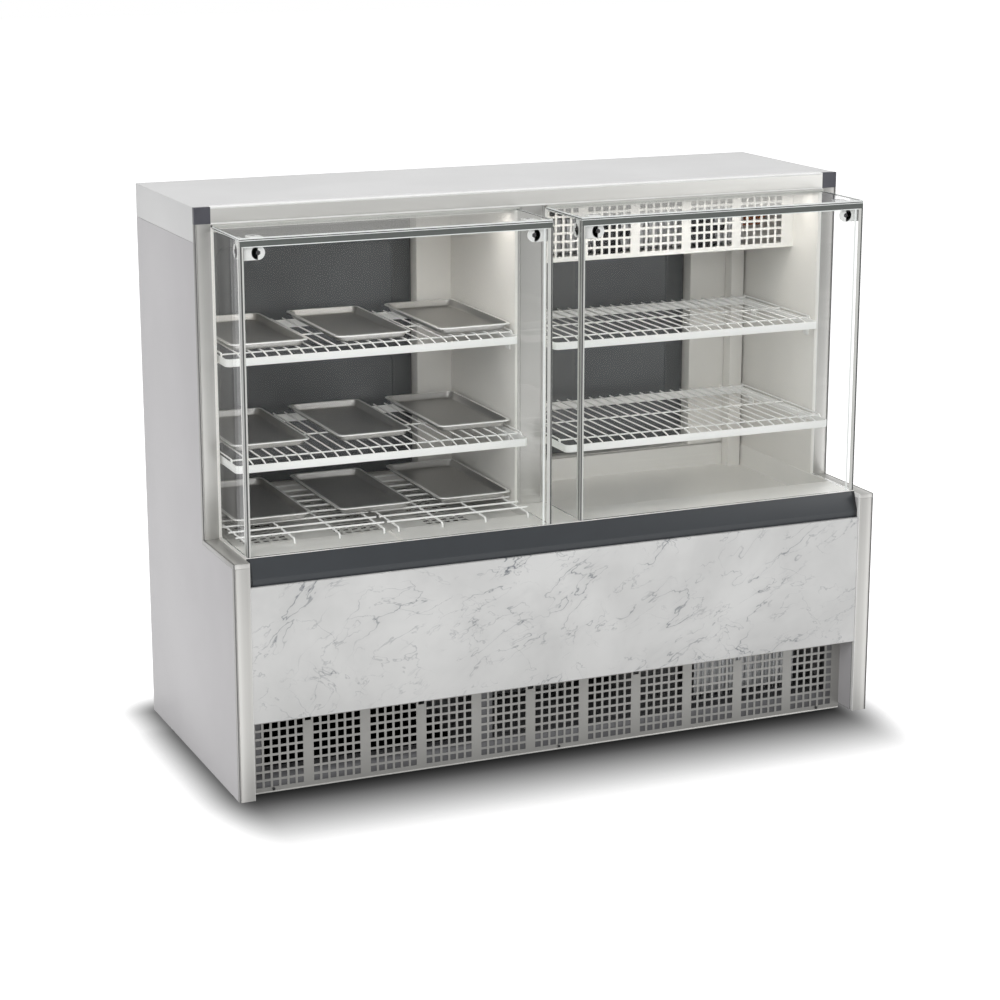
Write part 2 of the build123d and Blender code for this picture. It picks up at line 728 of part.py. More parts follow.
def pierced_sheet(x0, x1, z0, z1, face, thick, holes):
    """A flat sheet in x and z with rectangular holes, whose front face is at y = face."""
    sheet = Rectangle(x1 - x0, z1 - z0)
    centre_x = (x0 + x1) / 2
    centre_z = (z0 + z1) / 2
    places = [Pos(x - centre_x, z - centre_z) * Rectangle(w, h) for x, z, w, h in holes]
    outline = sheet - places
    return extrude(Plane(origin=(centre_x, face, centre_z), x_dir=(1, 0, 0), z_dir=(0, -1, 0)) * outline,
                   amount=-thick)


def grille_top():
    return GRILLE_FIRST_ROW + GRILLE_ROWS * HOLE_PITCH + HOLE


def grille_first_x():
    group_width = (HOLE_COLUMNS - 1) * HOLE_PITCH + HOLE
    return (WIDTH - (GRILLE_GROUPS - 1) * GROUP_PITCH - group_width) / 2


def base_grille():
    first = grille_first_x()
    holes = hole_groups(first, GRILLE_FIRST_ROW, GRILLE_GROUPS, GRILLE_ROWS)
    group_width = (HOLE_COLUMNS - 1) * HOLE_PITCH + HOLE
    for number in range(0, GRILLE_GROUPS - 1, 2):
        x = first + number * GROUP_PITCH + (group_width + GROUP_PITCH) / 2
        holes.append((x, SLOT_LEVEL + SLOT_HEIGHT / 2, SLOT_WIDTH, SLOT_HEIGHT))
    return pierced_sheet(INNER_LEFT, INNER_RIGHT, GRILLE_BOTTOM, grille_top(), GRILLE_FACE, GRILLE_SHEET, holes)


def evaporator_cover():
    """A folded cover: a pierced front, and a floor that runs back under the coil."""
    holes = hole_groups(COLD_LEFT + EVAP_MARGIN, EVAP_BOTTOM + EVAP_FIRST_ROW, EVAP_GROUPS, EVAP_ROWS)
    front = pierced_sheet(COLD_LEFT, COLD_RIGHT, EVAP_BOTTOM, CEILING - CEILING_SHEET, EVAP_FACE, EVAP_SHEET, holes)
    floor = slab(COLD_LEFT, COLD_RIGHT, EVAP_FACE, EVAP_FACE + EVAP_DEPTH, EVAP_BOTTOM, EVAP_BOTTOM + EVAP_SHEET)
    return front + floor


# Evaporator coil and fans

def coil_left():
    return (COLD_LEFT + COLD_RIGHT - COIL_LENGTH) / 2


def coil_front():
    return EVAP_FACE + EVAP_DEPTH - COIL_DEPTH


def coil_bottom():
    return EVAP_BOTTOM + EVAP_SHEET


def finned_block(x0, x1, y0, y1, z0, z1, pitch):
    """End plates, a core and fins that stand proud of it, as one solid."""
    proud = 6.0
    pieces = [slab(x0, x1, y0 + proud, y1 - proud, z0 + proud, z1 - proud)]
    count = int((x1 - x0) // pitch)
    step = (x1 - x0 - 2.0) / count
    for number in range(count + 1):
        x = x0 + number * step
        pieces.append(slab(x, x + 2.0, y0, y1, z0, z1))
    return merged(pieces)


def evaporator_coil():
    left = coil_left()
    return finned_block(left, left + COIL_LENGTH, coil_front(), coil_front() + COIL_DEPTH,
                        coil_bottom(), coil_bottom() + COIL_HEIGHT, FIN_PITCH)


def fan_axes():
    middle = (COLD_LEFT + COLD_RIGHT) / 2
    z = coil_bottom() + FAN_RADIUS + FAN_CLEAR
    return [(middle - FAN_SPACING / 2, z), (middle + FAN_SPACING / 2, z)]


def fan_blades(x, z, front, depth, radius, hub):
    """A hub with a bore and pitched blades, turning about y."""
    body = rod((x, front, z), (x, front + depth, z), hub)
    pieces = [body]
    for number in range(FAN_BLADES):
        blade = Box(radius - hub / 2, 2.0, radius * BLADE_CHORD)
        blade = Pos((radius + hub / 2) / 2, 0, 0) * (Rot(BLADE_PITCH, 0, 0) * blade)
        pieces.append(Pos(x, front + depth / 2, z) * (Rot(0, number * 360 / FAN_BLADES, 0) * blade))
    wheel = merged(pieces)
    limit = rod((x, front, z), (x, front + depth, z), radius)
    wheel = wheel & limit
    return wheel - rod((x, front + FAN_ENTRY - 1, z), (x, front + depth + 1, z), FAN_SHAFT + SHAFT_FIT)


def fan_motor(x, z, front, radius, length, shaft_tip, leg_bottom):
    """A motor can with its shaft, on a foot that reaches down to its seat."""
    can = rod((x, front, z), (x, front + length, z), radius)
    shaft = rod((x, shaft_tip, z), (x, front + 1, z), FAN_SHAFT)
    leg = slab(x - radius * 0.6, x + radius * 0.6, front + length * 0.3, front + length * 0.7, leg_bottom, z)
    return merged([can, shaft, leg])


def evaporator_fan(number):
    x, z = fan_axes()[number]
    return fan_blades(x, z, EVAP_FACE + FAN_FROM_COVER, FAN_DEPTH, FAN_RADIUS, FAN_HUB)


def evaporator_motors():
    tip = EVAP_FACE + FAN_FROM_COVER + FAN_ENTRY
    return [fan_motor(x, z, EVAP_FACE + MOTOR_FROM_COVER, MOTOR_RADIUS, MOTOR_LENGTH, tip, coil_bottom())
            for x, z in fan_axes()]


# Wire shelves, racks and pans

def shelf_wire_places(left, right):
    count = int((right - left) // SHELF_PITCH)
    first = (left + right - (count - 1) * SHELF_PITCH) / 2
    return [first + number * SHELF_PITCH for number in range(count)]


def shelf(name):
    """A bent flat bar with a deck of wires that slope down at the front."""
    bay, front, back, top = SHELVES[name]
    left = BAYS[bay][0] + SHELF_GAP
    right = BAYS[bay][1] - SHELF_GAP
    bottom = top - BAR_HEIGHT
    ring = Rectangle(right - left, back - front)
    ring = fillet(ring.vertices().sort_by(Axis.Y)[:2], SHELF_CORNER)
    ring -= offset(ring, amount=-BAR_THICK)
    bar = extrude(Pos((left + right) / 2, (front + back) / 2, bottom) * ring, amount=BAR_HEIGHT)
    radius = SHELF_WIRE / 2
    deck = top + SHELF_RISE - radius
    pieces = [bar]
    for x in shelf_wire_places(left + SHELF_CORNER, right - SHELF_CORNER):
        points = [(x, front + BAR_THICK / 2, top - radius), (x, front + SHELF_SLOPE, deck),
                  (x, back - BAR_THICK / 2, deck)]
        pieces.append(bent_rod(points, SHELF_BEND, radius))
    under = deck - radius + SHELF_WELD
    for y in (front + SHELF_SLOPE + SHELF_BEND, (front + back) / 2, back - SHELF_CORNER):
        pieces.append(slab(left + BAR_THICK / 2, right - BAR_THICK / 2, y - radius, y + radius,
                           under - SHELF_WIRE, under))
    pieces.append(slab(left, right, back - BAR_THICK, back, bottom, deck + radius))
    return merged(pieces)


def shelf_clips():
    """Angle clips on the side walls, which carry the shelves."""
    clips = []
    for bay, front, back, top in SHELVES.values():
        left, right = BAYS[bay]
        seat = top - BAR_HEIGHT
        for y in (STEP_BACK + CLIP_FRONT, back - CLIP_BACK):
            for wall, way in ((left, 1), (right, -1)):
                tip = wall + way * (SHELF_GAP + CLIP_REACH)
                web = wall + way * CLIP_SHEET
                arm = slab(min(wall, tip), max(wall, tip), y, y + CLIP_LENGTH, seat - CLIP_SHEET, seat)
                leg = slab(min(wall, web), max(wall, web), y, y + CLIP_LENGTH, seat - CLIP_LEG, seat - CLIP_SHEET)
                clips.append(arm + leg)
    return group(clips)


def rack(x0, x1):
    """A low wire rack over the heated well, with its front ends bent down to the sill."""
    radius = RACK_WIRE / 2
    long_z = RACK_TOP - radius
    upper = long_z - radius + RACK_WELD
    lower = upper - RACK_WIRE
    pieces = []
    count = int((WARM_SHELF_BACK - RACK_FRONT) // RACK_PITCH) + 1
    for number in range(count):
        y = RACK_FRONT + number * RACK_PITCH
        pieces.append(rod((x0, y, long_z), (x1, y, long_z), radius))
    back = RACK_FRONT + (count - 1) * RACK_PITCH + 2 * RACK_WIRE
    span = x1 - x0 - 2 * RACK_END
    crosses = int(span // RACK_CROSS_PITCH) + 1
    heel = back - RACK_WIRE
    toe = RACK_NOSE + RACK_WIRE
    outline = [(RACK_NOSE, SILL_TOP), (toe, SILL_TOP), (toe, lower), (heel, lower), (heel, COVER_TOP),
               (back, COVER_TOP), (back, upper), (RACK_NOSE, upper)]
    for number in range(crosses):
        x = x0 + RACK_END + number * span / (crosses - 1)
        pieces.append(side_profile(outline, x - radius, x + radius))
    return merged(pieces)


def rack_spans():
    left, right = BAYS["warm"]
    middle = (left + right) / 2
    edge = TUB_WALL + RACK_GAP
    return [(left + edge, middle - RACK_GAP), (middle + RACK_GAP, right - edge)]


def pan(x, front, seat):
    """A shallow pan with sloping walls and a flat rim."""
    top = seat + PAN_DEPTH
    length = PAN_LENGTH
    y = front + length / 2

    def outline(z, inset):
        return Pos(x, y, z) * Rectangle(PAN_WIDTH - 2 * inset, length - 2 * inset)

    body = loft([outline(seat, PAN_RIM + PAN_LEAN), outline(top, PAN_RIM)])
    inset = PAN_RIM + PAN_WALL
    hollow = loft([outline(seat + PAN_WALL, inset + PAN_LEAN), outline(top + PAN_WALL, inset)])
    rim = slab(x - PAN_WIDTH / 2, x + PAN_WIDTH / 2, front, front + length, top - PAN_WALL, top)
    return (body + rim) - hollow


def pans():
    middle = (WARM_LEFT + WARM_RIGHT) / 2 + PAN_SHIFT
    seats = [RACK_TOP, WARM_LOWER_TOP + SHELF_RISE, WARM_UPPER_TOP + SHELF_RISE]
    return group([pan(middle + step * PAN_PITCH, PAN_FRONT, seat) for seat in seats for step in (-1, 0, 1)])


# Heated deck

def heater_cover():
    """A pierced plate on folded legs over the heating elements."""
    left, right = BAYS["warm"]
    x0 = left + TUB_WALL + 1.0
    x1 = right - TUB_WALL - 1.0
    y0 = TUB_FRONT + TUB_WALL + 6.0
    y1 = FRAME_FACE - TUB_WALL - 6.0
    sheet = Rectangle(x1 - x0, y1 - y0)
    holes = []
    pitch = 24.0
    for column in range(int((x1 - x0 - 80.0) // pitch)):
        if column % 10 > 4:
            continue
        for row in range(int((y1 - y0 - 80.0) // pitch)):
            x = 40.0 + (column + 0.5) * pitch - (x1 - x0) / 2
            y = 40.0 + (row + 0.5) * pitch - (y1 - y0) / 2
            holes.append(Pos(x, y) * Rectangle(16.0, 16.0))
    flat = sheet - holes
    z = COVER_TOP - COVER_SHEET
    plate = extrude(Pos((x0 + x1) / 2, (y0 + y1) / 2, z) * flat, amount=COVER_SHEET)
    floor = TUB_FLOOR + TUB_WALL
    legs = [slab(x0, x1, y0, y0 + COVER_SHEET, floor, z), slab(x0, x1, y1 - COVER_SHEET, y1, floor, z)]
    return merged([plate] + legs)


def heater_elements():
    """Two hairpin heating elements that lie on blocks in the well."""
    left, right = BAYS["warm"]
    elements = []
    z = TUB_FLOOR + TUB_WALL + 16.0
    floor = TUB_FLOOR + TUB_WALL
    for number in range(2):
        y = TUB_FRONT + 120.0 + number * 210.0
        points = [(left + 60.0, y, z), (right - 60.0, y, z), (right - 60.0, y + 90.0, z), (left + 60.0, y + 90.0, z)]
        loop = bent_rod(points, 44.0, HEATER_RADIUS)
        seats = []
        for x in (left + 110.0, right - 140.0):
            seats.append(slab(x, x + 14.0, y - 8.0, y + 98.0, floor, z))
        elements.append(merged([loop] + seats))
    return group(elements)


# Lights

def light_bar(bay):
    left, right = BAYS[bay]
    y0 = STEP_BACK + RAIL_DEPTH + LIGHT_GAP
    z1 = CEILING - CEILING_SHEET
    bar = slab(left + LIGHT_END, right - LIGHT_END, y0, y0 + LIGHT_DEPTH, z1 - LIGHT_HEIGHT, z1)
    groove = slab(left, right, y0 + LIGHT_WALL, y0 + LIGHT_DEPTH - LIGHT_WALL,
                  z1 - LIGHT_HEIGHT - 1, z1 - LIGHT_WALL)
    return bar - groove


def light_diffuser(bay):
    left, right = BAYS[bay]
    y0 = STEP_BACK + RAIL_DEPTH + LIGHT_GAP + LIGHT_WALL
    z0 = CEILING - CEILING_SHEET - LIGHT_HEIGHT
    return slab(left + LIGHT_END, right - LIGHT_END, y0, y0 + LIGHT_DEPTH - 2 * LIGHT_WALL, z0, z0 + 4.0)


# Front panel and bumper

def front_panel():
    return slab(INNER_LEFT, INNER_RIGHT, PANEL_INSET, PANEL_INSET + PANEL_THICK, PANEL_BOTTOM, PANEL_TOP)


def bumper_outline():
    """The bumper's outline in y and z: a low upright face, then a long slope to the sill."""
    crest = SILL_TOP - SILL_SHEET
    back = UPSTAND_FRONT
    return [(BUMPER_FACE, PANEL_TOP), (back, PANEL_TOP), (back, crest), (back - SILL_SHEET, crest),
            (BUMPER_FACE, PANEL_TOP + BUMPER_STRAIGHT)]


def bumper():
    """The long rail and an end cap at each side."""
    rail = side_profile(bumper_outline(), INNER_LEFT + BUMPER_END, INNER_RIGHT - BUMPER_END)
    left = side_profile(bumper_outline(), INNER_LEFT, INNER_LEFT + BUMPER_END)
    return group([rail, left, flip(left)])


# Base frame, feet and the panels of the machine space

def base_frame():
    """Tubes on the floor of the machine space, posts under the insulated floor, and battens."""
    y0 = RAIL_FACE
    y1 = SERVICE_FACE
    front = tube_between(INNER_LEFT, INNER_RIGHT, y0, y0 + TUBE, 0, TUBE, TUBE_WALL, "x")
    back = tube_between(INNER_LEFT, INNER_RIGHT, y1 - TUBE, y1, 0, TUBE, TUBE_WALL, "x")
    sides = []
    for x in (INNER_LEFT, CROSS_RAIL, UNIT_LEFT - TUBE, INNER_RIGHT - TUBE):
        sides.append(tube_between(x, x + TUBE, y0 + TUBE, y1 - TUBE, 0, TUBE, TUBE_WALL, "y"))
    for x, y in foot_places():
        drill = rod((x, y, -1), (x, y, TUBE_WALL + 1), STUD_RADIUS + STUD_FIT)
        back -= drill
        sides = [side - drill for side in sides]
    posts = []
    for x in (INNER_LEFT, CROSS_RAIL, INNER_RIGHT - TUBE):
        for y in (y0, FRAME_BACK - TUBE):
            posts.append(tube_between(x, x + TUBE, y, y + TUBE, TUBE, FLOOR_BOTTOM, TUBE_WALL, "z"))
    inner = PANEL_INSET + PANEL_THICK
    upper = slab(INNER_LEFT, INNER_RIGHT, inner, RAIL_FACE, FLOOR_BOTTOM - BATTEN, FLOOR_BOTTOM)
    level = grille_top() + BATTEN_GAP
    lower = slab(INNER_LEFT, INNER_RIGHT, inner, RAIL_FACE, level, level + BATTEN)
    plate = slab(CROSS_RAIL, INNER_RIGHT, y0 + TUBE, FRAME_BACK - TUBE, TUBE, TUBE + UNIT_PLATE)
    return group([front, back] + sides + posts + [upper, lower, plate])


def foot_places():
    """Front left, front right, back left and back right."""
    left = INNER_LEFT + TUBE / 2
    back = SERVICE_FACE - TUBE / 2
    return [(left, FOOT_FRONT), (WIDTH - left, FOOT_FRONT), (left, back), (WIDTH - left, back)]


def foot(number):
    """A levelling foot: a round pad, a lock ring and a threaded stud."""
    x, y = foot_places()[number]
    pad = Cone(FOOT_PAD_RADIUS, FOOT_PAD_RADIUS * 0.72, FOOT_PAD_HEIGHT)
    pad = Pos(x, y, -FOOT_HEIGHT + FOOT_PAD_HEIGHT / 2) * pad
    stud = rod((x, y, -FOOT_HEIGHT + FOOT_PAD_HEIGHT / 2), (x, y, TUBE * 0.7), STUD_RADIUS)
    ring = rod((x, y, -SEAL_GAP - LOCK_RING), (x, y, -SEAL_GAP), STUD_RADIUS * 1.9)
    return merged([pad, stud, ring])


def rear_service_panel():
    """A removable back panel with louvre slots for the machine space."""
    holes = []
    span = (INNER_RIGHT - INNER_LEFT) / LOUVRE_COLUMNS
    for column in range(LOUVRE_COLUMNS):
        for row in range(LOUVRE_ROWS):
            holes.append((INNER_LEFT + (column + 0.5) * span, LOUVRE_FIRST + row * LOUVRE_PITCH,
                          span * 0.7, LOUVRE_HEIGHT))
    panel = pierced_sheet(INNER_LEFT, INNER_RIGHT, 0, CONTROL_BOTTOM - CONTROL_GAP,
                          SERVICE_FACE, SERVICE_SHEET, holes)
    x, z = gland_place()
    return panel - rod((x, SERVICE_FACE - 1, z), (x, SERVICE_FACE + SERVICE_SHEET + 1, z), GLAND_RADIUS)


def gland_place():
    return INNER_LEFT + GLAND_FROM_SIDE, TUBE + GLAND_RISE


def cable_gland():
    """A screwed gland in the back panel, where the mains lead would enter."""
    x, z = gland_place()
    face = SERVICE_FACE + SERVICE_SHEET
    nut = Plane(origin=(x, face, z), z_dir=(0, 1, 0)) * RegularPolygon(GLAND_RADIUS * 1.6, 6)
    body = extrude(nut, amount=5.0, dir=(0, 1, 0))
    neck = rod((x, SERVICE_FACE, z), (x, face + 1, z), GLAND_RADIUS - PIN_FIT)
    dome = rod((x, face + 4.0, z), (x, DEPTH, z), GLAND_RADIUS)
    bore = rod((x, SERVICE_FACE - 1, z), (x, DEPTH + 1, z), GLAND_BORE)
    return merged([body, neck, dome]) - bore


# Rear controls

def control_centre_z():
    return (CONTROL_BOTTOM + CONTROL_TOP) / 2


def rocker_places():
    return {"heater": KNOB_X + ROCKER_FROM_KNOB, "light": WIDTH / 2}


def control_panel():
    """A folded strip under the doors, with a hole for each control."""
    z = control_centre_z()
    back = CONTROL_FACE - CONTROL_SHEET
    panel = slab(INNER_LEFT, INNER_RIGHT, back, CONTROL_FACE, CONTROL_BOTTOM, CONTROL_TOP)
    upper = slab(INNER_LEFT, INNER_RIGHT, FRAME_BACK, back, CONTROL_TOP - CONTROL_SHEET, CONTROL_TOP)
    lower = slab(INNER_LEFT, INNER_RIGHT, FRAME_BACK, back, CONTROL_BOTTOM, CONTROL_BOTTOM + CONTROL_SHEET)
    panel = merged([panel, upper, lower])
    panel -= rod((KNOB_X, back - 1, z), (KNOB_X, CONTROL_FACE + 1, z), SPINDLE_RADIUS + SPINDLE_ROOM)
    half_x = ROCKER_WIDTH / 2 + ROCKER_BODY
    half_z = ROCKER_HEIGHT / 2 + ROCKER_BODY
    for x in rocker_places().values():
        panel -= slab(x - half_x, x + half_x, back - 1, CONTROL_FACE + 1, z - half_z, z + half_z)
    half_x = CONTROLLER_WIDTH / 2 - CONTROLLER_LIP
    half_z = CONTROLLER_HEIGHT / 2 - CONTROLLER_LIP
    return panel - slab(CONTROLLER_X - half_x, CONTROLLER_X + half_x, back - 1, CONTROL_FACE + 1,
                        z - half_z, z + half_z)


def thermostat_body():
    z = control_centre_z()
    back = CONTROL_FACE - CONTROL_SHEET
    half = THERMOSTAT_SIZE / 2
    body = slab(KNOB_X - half, KNOB_X + half, FRAME_BACK, back, z - half, z + half)
    spindle = rod((KNOB_X, back - 1, z), (KNOB_X, CONTROL_FACE + SPINDLE_LENGTH, z), SPINDLE_RADIUS)
    return body + spindle


def thermostat_knob():
    z = control_centre_z()
    near = CONTROL_FACE + KNOB_GAP
    far = near + KNOB_HEIGHT
    knob = rod((KNOB_X, near, z), (KNOB_X, far, z), KNOB_RADIUS)
    knob = fillet(knob.edges().group_by(Axis.Y)[-1], 2.5)
    flat = KNOB_GRIP / 2
    for x0, x1 in ((KNOB_X - KNOB_RADIUS, KNOB_X - flat), (KNOB_X + flat, KNOB_X + KNOB_RADIUS)):
        knob -= slab(x0, x1, near + KNOB_SKIRT, far + 1, z - KNOB_RADIUS, z + KNOB_RADIUS)
    bore = CONTROL_FACE + SPINDLE_LENGTH + 1
    return knob - rod((KNOB_X, near - 1, z), (KNOB_X, bore, z), SPINDLE_RADIUS + SHAFT_FIT)


def rocker_pivot_y():
    return CONTROL_FACE - ROCKER_SUNK


def rocker_frame(x):
    """A snap-in switch case with a pin across it."""
    z = control_centre_z()
    half_x = ROCKER_WIDTH / 2
    half_z = ROCKER_HEIGHT / 2
    flange = ROCKER_BODY + ROCKER_FLANGE
    case = slab(x - half_x - flange, x + half_x + flange, CONTROL_FACE, CONTROL_FACE + ROCKER_FACE,
                z - half_z - flange, z + half_z + flange)
    case += slab(x - half_x - ROCKER_BODY, x + half_x + ROCKER_BODY, FRAME_BACK, CONTROL_FACE,
                 z - half_z - ROCKER_BODY, z + half_z + ROCKER_BODY)
    case -= slab(x - half_x - ROCKER_ROOM, x + half_x + ROCKER_ROOM, FRAME_BACK + CONTROL_SHEET,
                 CONTROL_FACE + ROCKER_FACE + 1, z - half_z - ROCKER_ROOM, z + half_z + ROCKER_ROOM)
    y = rocker_pivot_y()
    return case + rod((x - half_x - 1.0, y, z), (x + half_x + 1.0, y, z), ROCKER_PIN)


def rocker(name):
    """A see-saw key on its pin, drawn in its off position, tipped back by half its throw."""
    x = rocker_places()[name]
    z = control_centre_z()
    y = rocker_pivot_y()
    half = ROCKER_HEIGHT / 2 - ROCKER_CREST
    outline = [(-4.0, -5.0), (1.0, -half), (7.5, -half), (6.0, 0), (7.5, half), (1.0, half), (-4.0, 5.0)]
    key = side_profile(outline, -ROCKER_WIDTH / 2, ROCKER_WIDTH / 2)
    key -= rod((-ROCKER_WIDTH, 0, 0), (ROCKER_WIDTH, 0, 0), ROCKER_PIN + SHAFT_FIT)
    return Pos(x, y, z) * (Rot(-ROCKER_THROW / 2, 0, 0) * key)


def button_places():
    first = CONTROLLER_X - (BUTTONS - 1) * BUTTON_PITCH / 2
    return [(first + number * BUTTON_PITCH, control_centre_z() - BUTTON_DROP) for number in range(BUTTONS)]


def button_tip():
    return CONTROL_FACE + CONTROLLER_BEZEL + BUTTON_PROUD


def controller_window_slab(near):
    z = control_centre_z()
    half = WINDOW_WIDTH / 2
    return slab(CONTROLLER_X - half, CONTROLLER_X + half, near, CONTROL_FACE + CONTROLLER_BEZEL,
                z - 1.0, z - 1.0 + WINDOW_HEIGHT)


def controller():
    """The digital controller's case, with a window and a well for each button."""
    z = control_centre_z()
    half_x = CONTROLLER_WIDTH / 2
    half_z = CONTROLLER_HEIGHT / 2
    bezel = slab(CONTROLLER_X - half_x, CONTROLLER_X + half_x, CONTROL_FACE, CONTROL_FACE + CONTROLLER_BEZEL,
                 z - half_z, z + half_z)
    half_x -= CONTROLLER_LIP
    half_z -= CONTROLLER_LIP
    body = slab(CONTROLLER_X - half_x, CONTROLLER_X + half_x, FRAME_BACK, CONTROL_FACE, z - half_z, z + half_z)
    case = bezel + body
    case -= controller_window_slab(CONTROL_FACE + CONTROLLER_BEZEL - 1.0)
    floor = button_tip() - BUTTON_LENGTH - BUTTON_TRAVEL - SEAL_GAP
    for x, bz in button_places():
        case -= rod((x, floor, bz), (x, button_tip(), bz), BUTTON_RADIUS + BUTTON_FIT)
    return case


def button(number):
    x, z = button_places()[number]
    tip = button_tip()
    cap = rod((x, tip - BUTTON_LENGTH, z), (x, tip, z), BUTTON_RADIUS)
    return fillet(cap.edges().group_by(Axis.Y)[-1], 0.6)


def electrical_box():
    x0 = INNER_LEFT + TUBE + BOX_FROM_POST
    return slab(x0, x0 + BOX_WIDTH, SERVICE_FACE - BOX_DEPTH, SERVICE_FACE - 1.0, TUBE, TUBE + BOX_HEIGHT)


def control_fittings():
    """What sits still behind the control panel and in the machine space."""
    window = controller_window_slab(CONTROL_FACE + CONTROLLER_BEZEL - 1.0)
    frames = [rocker_frame(x) for x in rocker_places().values()]
    return group([thermostat_body(), controller(), window, electrical_box()] + frames)


# Machine space

def compressor():
    """A welded pot on a foot plate with four rubber feet."""
    seat = TUBE + UNIT_PLATE
    under = seat + COMPRESSOR_LIFT
    pot = Cylinder(COMPRESSOR_RADIUS, COMPRESSOR_HEIGHT)
    pot = fillet(pot.edges(), COMPRESSOR_RADIUS * 0.4)
    pot = Pos(COMPRESSOR_X, COMPRESSOR_Y, under + COMPRESSOR_HEIGHT / 2 - COMPRESSOR_PLATE) * pot
    half_x = COMPRESSOR_RADIUS * 1.2
    half_y = COMPRESSOR_RADIUS * 0.75
    plate = slab(COMPRESSOR_X - half_x, COMPRESSOR_X + half_x, COMPRESSOR_Y - half_y, COMPRESSOR_Y + half_y,
                 under - COMPRESSOR_PLATE, under)
    pieces = [pot, plate]
    for side in (-1, 1):
        for end in (-1, 1):
            x = COMPRESSOR_X + side * (half_x - 14.0)
            y = COMPRESSOR_Y + end * (half_y - 14.0)
            pieces.append(rod((x, y, seat), (x, y, under), 9.0))
    return merged(pieces)


def compressor_top():
    return TUBE + UNIT_PLATE + COMPRESSOR_LIFT - COMPRESSOR_PLATE + COMPRESSOR_HEIGHT


def condenser_centre():
    return CONDENSER_LEFT + CONDENSER_WIDTH / 2, TUBE + UNIT_PLATE + CONDENSER_HEIGHT / 2


def shroud_front():
    return CONDENSER_FRONT + CONDENSER_DEPTH


def condenser():
    """The finned coil, and four plates that lead its air to the fan."""
    z0 = TUBE + UNIT_PLATE
    z1 = z0 + CONDENSER_HEIGHT
    x0 = CONDENSER_LEFT
    x1 = x0 + CONDENSER_WIDTH
    coil = finned_block(x0, x1, CONDENSER_FRONT, shroud_front(), z0, z1, CONDENSER_FINS)
    y0 = shroud_front()
    y1 = y0 + SHROUD_DEPTH
    thick = SHROUD_SHEET
    bottom = slab(x0, x1, y0, y1, z0, z0 + thick)
    top = slab(x0, x1, y0, y1, z1 - thick, z1)
    left = slab(x0, x0 + thick, y0, y1, z0 + thick, z1 - thick)
    right = slab(x1 - thick, x1, y0, y1, z0 + thick, z1 - thick)
    return group([coil, bottom, top, left, right])


def condenser_fan():
    x, z = condenser_centre()
    return fan_blades(x, z, shroud_front() + FAN_REST, BIG_FAN_DEPTH, BIG_FAN_RADIUS, BIG_FAN_HUB)


def condenser_motor():
    x, z = condenser_centre()
    front = shroud_front() + SHROUD_DEPTH + 2 * FAN_REST
    tip = shroud_front() + FAN_REST + FAN_ENTRY
    return fan_motor(x, z, front, BIG_MOTOR_RADIUS, BIG_MOTOR_LENGTH, tip, TUBE + UNIT_PLATE)


def fan_motors():
    return group(evaporator_motors() + [condenser_motor()])


def duct_centre():
    return COLD_RIGHT - TUB_WALL - DUCT_GAP - DUCT / 2, FRAME_FACE - TUB_WALL - DUCT / 2


def pipe_duct():
    """A square duct in the rear corner, which hides the pipes on their way up."""
    x, y = duct_centre()
    half = DUCT / 2
    return tube_between(x - half, x + half, y - half, y + half, FLOOR_BOTTOM, EVAP_BOTTOM + DUCT_RISE,
                        DUCT_WALL, "z")


def suction_pipe():
    x, y = duct_centre()
    x += PIPE_APART
    start = COMPRESSOR_X + COMPRESSOR_RADIUS * 0.3
    turn = FLOOR_BOTTOM - 60.0
    top = EVAP_BOTTOM + SUCTION_LEVEL
    coil_y = coil_front() + COIL_DEPTH / 2
    points = [(start, COMPRESSOR_Y, compressor_top()), (start, COMPRESSOR_Y, turn), (x, COMPRESSOR_Y, turn),
              (x, y, turn), (x, y, top), (x, coil_y, top), (coil_left() + COIL_LENGTH, coil_y, top)]
    return bent_rod(points, 22.0, SUCTION_RADIUS)


def liquid_pipe():
    x, y = duct_centre()
    x -= PIPE_APART
    start = CONDENSER_LEFT + CONDENSER_WIDTH - 20.0
    start_y = CONDENSER_FRONT + CONDENSER_DEPTH / 2
    turn = FLOOR_BOTTOM - 110.0
    top = EVAP_BOTTOM + DUCT_RISE + 10.0
    coil_y = coil_front() + COIL_DEPTH / 2
    points = [(start, start_y, TUBE + UNIT_PLATE + CONDENSER_HEIGHT), (start, start_y, turn), (x, start_y, turn),
              (x, y, turn), (x, y, top), (x, coil_y, top), (coil_left() + COIL_LENGTH, coil_y, top)]
    return bent_rod(points, 9.0, LIQUID_RADIUS)


def discharge_pipe():
    z = TUBE + UNIT_PLATE + CONDENSER_HEIGHT
    high = z + 40.0
    x = COMPRESSOR_X - COMPRESSOR_RADIUS * 0.3
    y = CONDENSER_FRONT + CONDENSER_DEPTH / 2
    end = CONDENSER_LEFT + 20.0
    points = [(x, COMPRESSOR_Y, compressor_top()), (x, COMPRESSOR_Y, high), (x, y, high), (end, y, high), (end, y, z)]
    return bent_rod(points, 18.0, LIQUID_RADIUS)


def pipes():
    return group([suction_pipe(), liquid_pipe(), discharge_pipe()])


